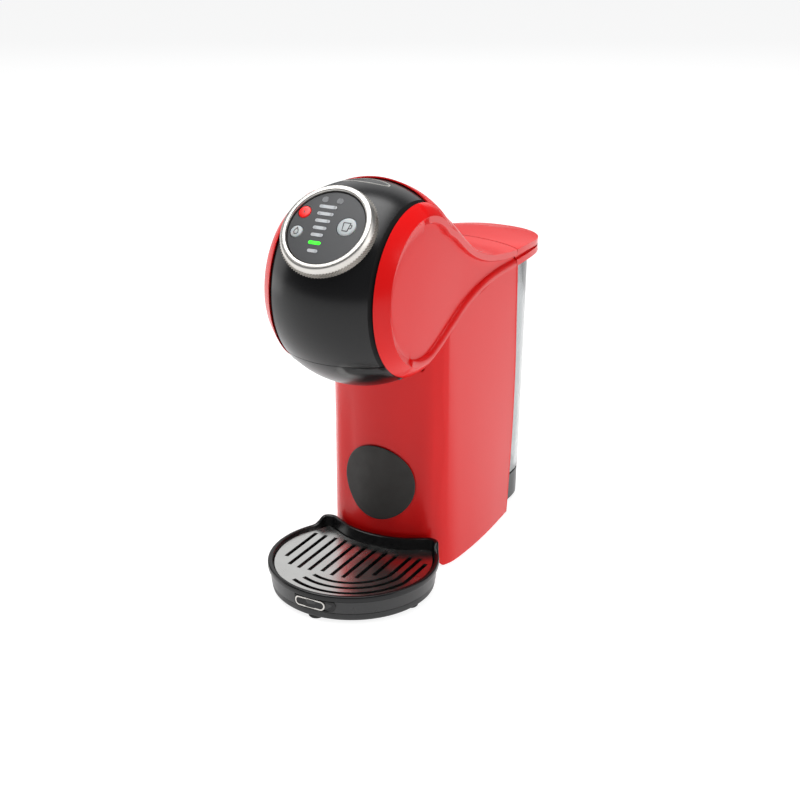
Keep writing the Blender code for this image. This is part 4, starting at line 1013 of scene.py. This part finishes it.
def bars_tree():
    """Node group: a column of round-ended bars that grow from a width to another."""
    tree, given = node_group(
        "scale_bars", ("Count", "Int", 5), ("Start", "Vector", (0, 0, 0)), ("Step", "Vector", (0, 0.005, 0)),
        ("Bar", "Float", 0.002), ("First width", "Float", 0.007), ("Growth", "Float", 0.0012),
        ("Thickness", "Float", 0.0003), ("Finish", "Material", None))
    line = add(tree, "GeometryNodeMeshLine", {"mode": "OFFSET"}, Count=given["Count"],
               Start_Location=given["Start"], Offset=given["Step"])
    index = add(tree, "GeometryNodeInputIndex").outputs[0]
    width = maths(tree, "MULTIPLY_ADD", index, given["Growth"], given["First width"])
    straight = maths(tree, "SUBTRACT", width, given["Bar"])
    size = add(tree, "ShaderNodeCombineXYZ", {"Y": 1.0, "Z": 1.0}, X=straight)
    section = add(tree, "ShaderNodeCombineXYZ", {"X": 1.0}, Y=given["Bar"], Z=given["Thickness"])
    unit = add(tree, "GeometryNodeMeshCube", {}, Size=section.outputs[0])
    bars = add(tree, "GeometryNodeInstanceOnPoints", {}, Points=line.outputs[0], Instance=unit.outputs[0],
               Scale=size.outputs[0])
    half = maths(tree, "MULTIPLY", given["Bar"], 0.5)
    end = add(tree, "GeometryNodeMeshCylinder", {"Vertices": 20}, Radius=half, Depth=given["Thickness"])
    parts = [bars]
    for way in (0.5, -0.5):
        shift = add(tree, "ShaderNodeCombineXYZ", {}, X=maths(tree, "MULTIPLY", straight, way))
        moved = add(tree, "GeometryNodeSetPosition", {}, Geometry=line.outputs[0], Offset=shift.outputs[0])
        parts.append(add(tree, "GeometryNodeInstanceOnPoints", {}, Points=moved.outputs[0],
                         Instance=end.outputs[0]))
    whole = add(tree, "GeometryNodeJoinGeometry")
    for part in parts:
        tree.links.new(part.outputs[0], whole.inputs[0])
    close_group(tree, whole.outputs[0], given["Finish"])
    return tree


def dial_marks(context):
    """Cup-size scale of the dial: five bars above, the lit one, a short one below, and two dots on top."""
    tree = bars_tree()
    lit = LOOKS["light_guide_lit" if context.scene.machine_sizes.lit else "light_guide"]
    rows = (("scale_bars_upper", 5, (-4.15, -5.6), 4.95, 8.3, 0.95, LOOKS["light_guide"]),
            ("scale_bar_lit", 1, (-3.5, -11.1), 0.0, 8.4, 0.0, lit),
            ("scale_bar_short", 1, (-2.8, -16.6), 0.0, 7.0, 0.0, LOOKS["light_guide"]),
            ("scale_dots", 2, (-8.0, 19.1), 0.0, 4.2, 0.0, LOOKS["light_guide_dim"]))
    for name, count, (x, up), step, width, growth, finish in rows:
        dots = name == "scale_dots"
        made = from_nodes(name, tree, FACE_D + 0.05, {
            "Count": count, "Start": (x * MM, up * MM, 0),
            "Step": (10.2 * MM if dots else 0, step * MM, 0),
            "Bar": (4.1 if dots else 2.15) * MM, "First width": width * MM, "Growth": growth * MM,
            "Thickness": 0.3 * MM, "Finish": finish})
        in_place(made, "handle", "button_grey", finish)


# Line width and thickness of a printed symbol.
PRINT_WIDTH, PRINT_THICK = 0.55, 0.16


def strokes(name, lines, place, body, slot):
    """Flat printed symbol, drawn as round-ended strokes on a face."""
    made = None
    for n, line in enumerate(lines):
        for a, b in zip(line, line[1:]):
            start, end = Vector(a), Vector(b)
            run = (end - start).length
            outline = pill(run + PRINT_WIDTH, PRINT_WIDTH, 6)
            turn = Matrix.Rotation(math.atan2(end.y - start.y, end.x - start.x), 4, "Z")
            middle = (start + end) / 2
            spot = place @ Matrix.Translation((middle.x, middle.y, 0)) @ turn
            # A little more depth to each line keeps the joined faces from lying in one plane.
            part = raw(name, *prism(outline, -0.004 * n, PRINT_THICK + 0.004 * n, spot))
            if made is None:
                made = part
            else:
                cut(made, part, "UNION")
    settled(made)
    made.name = name
    in_place(made, body, slot, LOOKS["symbol_print"])


def buttons(context):
    """Three push buttons, each a shallow dome, with plain symbols: a cup, a flame and a drop."""
    for name, (x, up, radius, finish, slot) in BUTTONS.items():
        profile = [(0, 65.72), (radius * 0.4, 65.7), (radius * 0.75, 65.62), (radius - 0.5, 65.5),
                   (radius - 0.15, 65.3), (radius, 64.9), (radius, 61.5), (0, 61.5)]
        made = settled(raw(f"{name}_cap", *lathe(profile, 48, dial_place(x, up))), smooth=50)
        in_place(made, f"{name}_key", slot, LOOKS[finish], f"{name}_button")
        place = dial_place(x, up) @ Matrix.Translation((0, 0, 65.64))
        if name == "size":
            lines = [[(-2.6, 2.6), (-1.9, -3.0), (1.5, -3.0), (2.2, 2.6), (-2.6, 2.6)],
                     [(2.1, 1.4), (3.5, 1.2), (3.3, -0.9), (1.9, -1.2)]]
        else:
            drop = [(0.0, 2.4), (1.2, 0.6), (1.5, -0.7), (0.7, -1.9), (-0.7, -1.9), (-1.5, -0.7),
                    (-1.2, 0.6), (0.0, 2.4)]
            lines = [drop] if name == "cold" else [drop, [(0.0, 0.4), (0.0, -0.7)]]
        strokes(f"{name}_symbol", lines, place, f"{name}_key", slot)


# ---- the drawer under the mask ----

# The pod's place behind the head's centre, and the height of the drawer's lowest face.
POD_Y = -12.0
DRAWER_LOW = 144.9
DRAWER_TOP = SEAM_Z - 0.4


def drawer(context):
    """Front of the pod drawer, which ends the head's ball, with a finger scoop on the right, and its cup."""
    sheet = Sheet()
    rows = []
    for n in range(33):
        spots = []
        for k in range(-48, 49):
            turn = math.radians(90.0 * k / 48)
            z = DRAWER_TOP - (DRAWER_TOP - DRAWER_LOW) * n / 32
            ball = MASK_R ** 2 - (HEAD_Z - z) ** 2
            half = min(MASK_HALF - 0.1, math.sqrt(ball))
            x = half * math.sin(turn)
            y = -math.sqrt(max(0.0, ball - x * x))
            # The ears carry on below the caps, a little outside the ball.
            ear = 2.2 * ease(28.0, 36.0, abs(x)) * ease(146.0, 152.0, z) * ease(166.0, 156.0, z)
            scoop = 2.4 * ease(12.0, 20.0, x) * ease(36.5, 31.0, x) * ease(161.0, 167.2, z)
            spots.append((x, y - ear + scoop + HEAD_Y, z - 0.4 * scoop))
        rows.append(sheet.row(spots))
    sheet.strips(rows)
    made = raw("drawer_front", sheet.points, sheet.faces, inside=(0, HEAD_Y, HEAD_Z))
    walled(made, 1.6)
    settled(made, smooth=50)
    in_place(made, "holder", "black_gloss", LOOKS["piano_black_abs"], "capsule_holder")
    at = Matrix.Translation((0, HEAD_Y + POD_Y, 0))
    low_r = math.sqrt(MASK_R ** 2 - (HEAD_Z - DRAWER_LOW) ** 2)
    turns = [math.pi * k / 40 for k in range(41)]
    plan = [(-low_r * math.cos(a), -low_r * math.sin(a)) for a in turns]
    plan += [(low_r - 1.0, 4.0), (1.0 - low_r, 4.0)]
    made = raw("drawer_floor", *prism([(x, y + HEAD_Y) for x, y in plan], DRAWER_LOW, DRAWER_LOW + 2.4))
    cut(made, raw("tool", *lathe([(0, 130), (4.6, 130), (4.6, 170), (0, 170)], 48, at)))
    in_place(made, "holder", "black_gloss", LOOKS["piano_black_abs"], "capsule_holder")
    profile = [(4.3, 147.2), (14.0, 147.2), (17.4, 149.4), (21.0, 152.0), (25.4, 157.0), (26.2, 163.4),
               (24.5, 163.4), (24.5, 155.5), (4.3, 155.5)]
    cup = raw("drawer_cup", *lathe(profile, 72, at))
    rounded(cup, 0.3)
    settled(cup)
    in_place(cup, "holder", "black_gloss", LOOKS["textured_black_abs"], "capsule_holder")
    plate = [(30.4, -17.5), (30.4, 17.0), (-30.4, 17.0), (-30.4, -17.5), (-26.0, -24.0), (26.0, -24.0)]
    made = raw("drawer_deck", *prism([(x, y + HEAD_Y) for x, y in plate], 159.4, 163.2))
    cut(made, raw("tool", *lathe([(0, 150), (26.3, 150), (26.3, 170), (0, 170)], 72, at)))
    rounded(made, 0.4)
    settled(made)
    in_place(made, "holder", "black_gloss", LOOKS["textured_black_abs"], "capsule_holder")


# ---- tray, grid and base ----

def tray_outline(reach=0.0):
    """The tray from above, moved inwards by reach: round in front, hollowed behind to follow the column."""
    radius = TRAY_R - reach
    turns = [math.radians(2.4 * k) for k in range(53)]
    arc = [(radius * math.sin(a), TRAY_Y - HEAD_Y - radius * math.cos(a)) for a in turns]
    share = reach / TRAY_INNER_REACH
    back = [tuple(Vector(a).lerp(Vector(b), share)) for a, b in zip(TRAY_OUTER_BACK, TRAY_INNER_BACK)]
    back = flowing([arc[-1], *back], 5)[1:]
    return [(x, y + HEAD_Y) for x, y in mirrored(arc + [tuple(p) for p in back])]


def tray_lift(x, y):
    """0 round the front, 1 along the higher back wall."""
    return ease(11.0, 19.0, y - HEAD_Y) if abs(x) > 30 else ease(-4.0, 9.0, y - HEAD_Y)


def tray(context):
    """Black tray: satin wall, gloss rim band that overhangs it, and a deep bowl."""
    lift = [tray_lift(x, y) for x, y in tray_outline()]
    rise = TRAY_BACK - TRAY_RIM

    def loops(plan):
        """Loops of the (reach inwards, height, share of the back wall's rise) stops."""
        rows = []
        for reach, z, share in plan:
            rows.append([(x, y, z + rise * b * share) for (x, y), b in zip(tray_outline(reach), lift)])
        return rows

    wall = [(2.6, 7.3, 0), (2.1, 7.7, 0), (1.5, 15.9, 0), (2.0, 16.2, 0), (5.9, 16.2, 0), (6.1, 12.0, 0),
            (6.4, 7.3, 0)]
    sheet = Sheet()
    rows = [sheet.row(loop) for loop in loops(wall)]
    sheet.strips(rows + rows[:1], closed=True)
    made = settled(raw("tray_wall", sheet.points, sheet.faces), smooth=40)
    in_place(made, "tray", "black_gloss", LOOKS["satin_black_abs"], "drip_tray")
    outside = [(6.5, 7.4, 0), (6.5, 16.3, 0), (2.2, 16.35, 0), (0.7, 16.5, 0), (0.15, 16.9, 0),
               (0.0, 17.6, 0), (0.0, 19.6, 1), (0.25, 20.3, 1), (0.9, TRAY_RIM, 1)]
    inside = [(2.4, TRAY_RIM - 0.05, 1), (3.0, TRAY_RIM - 0.4, 1), (3.4, 18.4, 0.6), (3.8, 16.4, 0),
              (7.3, 16.35, 0), (7.5, 16.1, 0), (7.6, 9.6, 0), (8.2, 8.8, 0)]
    made = settled(raw("tray_rim", *stack(loops(outside + inside))), smooth=40)
    in_place(made, "tray", "black_gloss", LOOKS["piano_black_abs"], "drip_tray")


def on_tray(across, z, radius):
    """A point on the tray's front wall, across being measured round it."""
    a = across / TRAY_R
    return Vector((radius * math.sin(a), TRAY_Y - radius * math.cos(a), z))


def tray_badge(context):
    """Blank pill badge with a bright rim, set in a gloss black field on the tray's front."""
    field = [(-11.0, 8.6), (-12.6, 9.6), (-12.9, 15.5), (17.0, 15.5), (18.2, 13.0), (17.0, 9.6), (15.5, 8.6)]
    radius = TRAY_R - 1.5

    def plate(name, outline, low, high):
        sheet = Sheet()
        front = sheet.row([on_tray(x, z, radius + high) for x, z in outline])
        back = sheet.row([on_tray(x, z, radius + low) for x, z in outline])
        sheet.strips([front, back], closed=True)
        sheet.face(front)
        sheet.face(back[::-1])
        made = settled(raw(name, sheet.points, sheet.faces), smooth=20)
        in_place(made, "tray", "black_gloss", LOOKS["piano_black_abs"], "tray_badge")

    def dense(outline):
        """The outline with points close enough to follow the wall's curve."""
        points = []
        for (x0, z0), (x1, z1) in zip(outline, outline[1:] + outline[:1]):
            steps = max(1, int(math.hypot(x1 - x0, z1 - z0) / 1.2))
            points += [(x0 + (x1 - x0) * n / steps, z0 + (z1 - z0) * n / steps) for n in range(steps)]
        return points

    plate("badge_field", dense(field), -0.3, 0.35)
    sheet = Sheet()
    rings = []
    for grown, lift in ((0.0, 0.2), (0.0, 0.8), (-0.45, 1.0), (-0.95, 0.8), (-0.95, 0.2)):
        line = pill(22.6 + 2 * grown, 6.6 + 2 * grown, 16)
        rings.append(sheet.row([on_tray(x - 0.6, 12.2 + z, radius + lift) for x, z in line]))
    sheet.strips(rings + rings[:1], closed=True)
    made = settled(raw("badge_rim", sheet.points, sheet.faces), smooth=50)
    in_place(made, "tray", "chrome", LOOKS["satin_chrome"])
    line = [(x - 0.6, 12.2 + z) for x, z in dense(pill(21.4, 5.4, 12))]
    plate("badge_plate", line, 0.1, 0.5)


def slot_outline(points, width):
    """The outline of a slot of that width along a line of points."""
    run = [Vector(p) for p in points]
    sides = [[], []]
    for k, spot in enumerate(run):
        along = (run[min(k + 1, len(run) - 1)] - run[max(k - 1, 0)]).normalized()
        across = Vector((-along.y, along.x)) * width / 2
        sides[0].append(spot + across)
        sides[1].append(spot - across)
    return [tuple(p) for p in sides[0]] + [tuple(p) for p in reversed(sides[1])]


def grid_slots():
    """Lines of the grid's slots, from the tray's centre: three bends round the front, and straight ones."""
    lines = []
    for radius, left in ((47.2, -26.0), (40.2, -24.0), (33.2, -22.0)):
        turns = [math.radians(left + (74.0 - left) * k / 22) for k in range(23)]
        bend = [(radius * math.sin(a), -radius * math.cos(a)) for a in turns]
        x, y = bend[-1]
        lines.append(bend + [(x + 0.3, y + 3.0), (x + 0.4, y + 8.0), (x + 0.4, 22.0 if x < 44 else 17.0)])
    for x, front in ((-42.5, -17.0), (-34.5, -26.0), (-26.5, -27.5), (-18.5, -27.0)):
        lines.append([(x, front), (x, 22.5)])
    for x in (-10.0, -1.8, 6.4, 14.6, 22.8):
        lines.append([(x, -math.sqrt(26.5 ** 2 - x * x)), (x, 20.0)])
    return lines


def grid(context):
    """Polished sheet grid with a turned edge, slotted through."""
    width = context.scene.machine_sizes.slot_width / MM
    loops = [[(x, y, z) for x, y in tray_outline(reach)]
             for reach, z in ((5.0, 16.5), (4.2, 16.6), (4.1, 17.9), (4.5, 18.3), (5.2, 18.2))]
    made = raw("cup_grid", *stack(loops))
    settled(made)
    for line in grid_slots():
        slot = slot_outline(line, width)
        cut(made, raw("tool", *prism([(x, y + TRAY_Y) for x, y in slot], 14.0, 21.0)))
    settled(made)
    in_place(made, "grid", "chrome", LOOKS["polished_stainless"], "drip_grid")


def base(context):
    """Dark plate that the machine stands on, round under the tray, and the tank's dock."""
    turns = [math.radians(2.5 * k) for k in range(51)]
    arc = [(BASE_R * math.sin(a), TRAY_Y - HEAD_Y - BASE_R * math.cos(a)) for a in turns]
    half = arc + [(39.0, 26.0), (39.0, 36.0), (40.4, 44.0), (40.4, 133.2)]
    plan = [(x, y + HEAD_Y) for x, y in mirrored(half)]
    loops = [[(x, y, z) for x, y in inset(plan, reach)]
             for reach, z in ((1.2, 2.2), (0.3, 3.0), (0.0, 4.2), (0.0, 7.0))]
    made = settled(raw("stand_plate", *stack(loops)), smooth=40)
    in_place(made, "machine", "black_plastic", LOOKS["textured_black_abs"], "base_plate")
    levels = ((1.2, 2.5), (0.5, 3.2), (0.4, 12.0), (0.4, 22.8), (1.0, 23.6))
    made = raw("tank_dock", *stack([tank_loop(z, DOCK_FRONT, wall) for wall, z in levels]))
    at = Matrix.Translation((0, VALVE_Y + HEAD_Y, 0))
    cut(made, raw("tool", *lathe([(0, 13.0), (9.4, 13.0), (9.4, 30.0), (0, 30.0)], 48, at)))
    in_place(settled(made), "machine", "black_plastic", LOOKS["piano_black_abs"], "tank_base")


# ---- the tank ----

def tank_loop(z, front, wall=0.0):
    """The tank's outline at a height: the back leans in towards the foot."""
    lean = 0.724 + 0.276 * (z - 19.0) / (TANK_TOP - 19.0)
    behind = [p for p in TANK_SIDE if p[1] > front[-1][1]]
    half = front[:-1] + [tuple(p) for p in flowing([front[-1], *behind], 5)]
    half = [(x, y if y < TANK_LEAN_Y else TANK_LEAN_Y + (y - TANK_LEAN_Y) * lean) for x, y in half]
    return [(x, y + HEAD_Y, z) for x, y in inset(mirrored(half), wall)]


def tank(context):
    """Clear tank with a thicker mouth."""
    outer = [(0.6, 24.0), (0.0, 25.0), (0.0, 60.0), (0.0, 105.0), (0.0, 150.0), (0.0, 185.9), (0.4, 186.4)]
    inner = [(1.6, 186.4), (1.8, 185.6), (1.9, 150.0), (2.0, 105.0), (2.0, 60.0), (2.0, 28.0), (2.8, 26.6)]
    loops = [tank_loop(z, TANK_FRONT, wall) for wall, z in outer + inner]
    made = raw("tank_wall", *stack(loops))
    at = Matrix.Translation((0, VALVE_Y + HEAD_Y, 0))
    cut(made, raw("tool", *lathe([(0, 20), (6.4, 20), (6.4, 30), (0, 30)], 48, at)))
    in_place(settled(made), "tank", "clear", LOOKS["clear_san"], "water_tank")


# ---- the stage ----

def area(name, at, towards, size, power, colour="#ffffff"):
    """A soft box aimed at a point."""
    lamp = bpy.data.lights.new(name, "AREA")
    lamp.shape = "RECTANGLE"
    lamp.size, lamp.size_y = size
    lamp.energy = power
    lamp.color = linear(colour)[:3]
    made = bpy.data.objects.new(name, lamp)
    made.location = at
    made.rotation_euler = (Vector(towards) - Vector(at)).to_track_quat("-Z", "Y").to_euler()
    bpy.context.scene.collection.objects.link(made)


def stage(context):
    """Pale floor, soft boxes and the camera."""
    scene = context.scene
    scene.view_settings.view_transform = "Standard"
    world = bpy.data.worlds.new("studio")
    world.use_nodes = True
    sky = world.node_tree.nodes["Background"]
    sky.inputs["Color"].default_value = linear("#f2f4f6")
    sky.inputs["Strength"].default_value = 0.16
    scene.world = world
    mesh = bpy.data.meshes.new("floor")
    mesh.from_pydata([(-4.5, -2.5, 0), (4.5, -2.5, 0), (4.5, 5.0, 0), (-4.5, 5.0, 0)], [], [(0, 1, 2, 3)])
    floor = bpy.data.objects.new("floor", mesh)
    scene.collection.objects.link(floor)
    # A little light of its own keeps the floor white to its far edge.
    worked("pale_floor", "#a8a8a8", 0.85, Emission_Strength=0.86, Emission_Color=linear("#ffffff"),
           Specular_IOR_Level=0.1, spacing=40.0, depth=0.01, rough=(0.8, 0.9), patch=400.0, tint=0.995)
    mesh.materials.append(LOOKS["pale_floor"])
    area("box_right", (1.15, 0.2, 0.5), (0.0, 0.0, 0.17), (0.9, 1.0), 4.6)
    area("box_left", (-1.0, -0.2, 0.35), (0.0, -0.07, 0.2), (0.5, 0.8), 1.6)
    area("box_top", (-0.15, -0.05, 1.2), (0.0, 0.0, 0.2), (1.2, 1.0), 17.0)
    area("box_back", (-0.95, 1.75, 1.1), (0.0, 0.0, 0.1), (2.4, 1.3), 6.5)
    camera = bpy.data.cameras.new("camera")
    camera.lens = 67.5
    camera.sensor_width = 36.0
    camera.clip_start = 0.01
    made = bpy.data.objects.new("camera", camera)
    made.location = (0.4512, -0.8627, 0.4816)
    made.rotation_euler = (math.radians(68.75), 0.0, math.radians(28.19))
    scene.collection.objects.link(made)
    scene.camera = made


def finishes(context):
    """Materials of the machine, and those of the pieces that keep the frame's own shape."""
    make_looks(context.scene.machine_colours)
    for finish, nodes in CARRIED.items():
        for node in nodes:
            mesh = frame["nodes"][node].data
            mesh.materials.clear()
            mesh.materials.append(LOOKS[finish])


# ---- operators, one for each piece or group of like pieces ----

def operator(key, label, words, *builders):
    """An operator class that runs its builders."""
    def execute(self, context):
        for build in builders:
            build(context)
        return {"FINISHED"}
    return type(f"MACHINE_OT_{key}", (Operator,), {
        "__doc__": words, "bl_idname": f"machine.{key}", "bl_label": label, "execute": execute})


OPERATORS = [
    operator("finishes", "Finishes", "Make the materials and dress the frame's own pieces", finishes),
    operator("housing", "Housing", "Build the red caps, neck and tail", housing),
    operator("column", "Column", "Build the red column and the soft pad on its front", column, front_pad),
    operator("mask", "Mask", "Build the black mask and the badge on top of it", mask, top_badge),
    operator("ring", "Selector ring", "Build the chrome ring and its knurling", ring, knurl),
    operator("dial", "Dial", "Build the dial's window and its scale", dial_face, dial_marks),
    operator("buttons", "Buttons", "Build the three push buttons", buttons),
    operator("drawer", "Pod drawer", "Build the drawer's front, cup and deck", drawer),
    operator("tray", "Drip tray", "Build the tray and its badge", tray, tray_badge),
    operator("grid", "Cup grid", "Build the slotted grid", grid),
    operator("base", "Base", "Build the stand plate and the tank's dock", base),
    operator("tank", "Water tank", "Build the clear tank", tank),
    operator("lid", "Tank lid", "Build the red lid", lid),
    operator("stage", "Stage", "Set the floor, the lights and the camera", stage),
]


class MACHINE_PT_parts(Panel):
    """Sizes, colours and one button for each piece."""
    bl_label = "Pod coffee machine"
    bl_idname = "MACHINE_PT_parts"
    bl_space_type = "VIEW_3D"
    bl_region_type = "UI"
    bl_category = "Coffee"

    def draw(self, context):
        for group in (context.scene.machine_sizes, context.scene.machine_colours):
            for key in group.__annotations__:
                self.layout.prop(group, key)
        for kind in OPERATORS:
            self.layout.operator(kind.bl_idname)


CLASSES = [MachineSizes, MachineColours, *OPERATORS, MACHINE_PT_parts]


def register():
    for kind in CLASSES:
        bpy.utils.register_class(kind)
    bpy.types.Scene.machine_sizes = PointerProperty(type=MachineSizes)
    bpy.types.Scene.machine_colours = PointerProperty(type=MachineColours)


def unregister():
    del bpy.types.Scene.machine_colours
    del bpy.types.Scene.machine_sizes
    for kind in reversed(CLASSES):
        bpy.utils.unregister_class(kind)


def main():
    for found in list(bpy.data.objects):
        if found.type in ("CAMERA", "LIGHT") or found.name == "Cube":
            bpy.data.objects.remove(found)
    register()
    for kind in OPERATORS:
        group, key = kind.bl_idname.split(".")
        getattr(getattr(bpy.ops, group), key)()


if __name__ == "__main__":
    main()
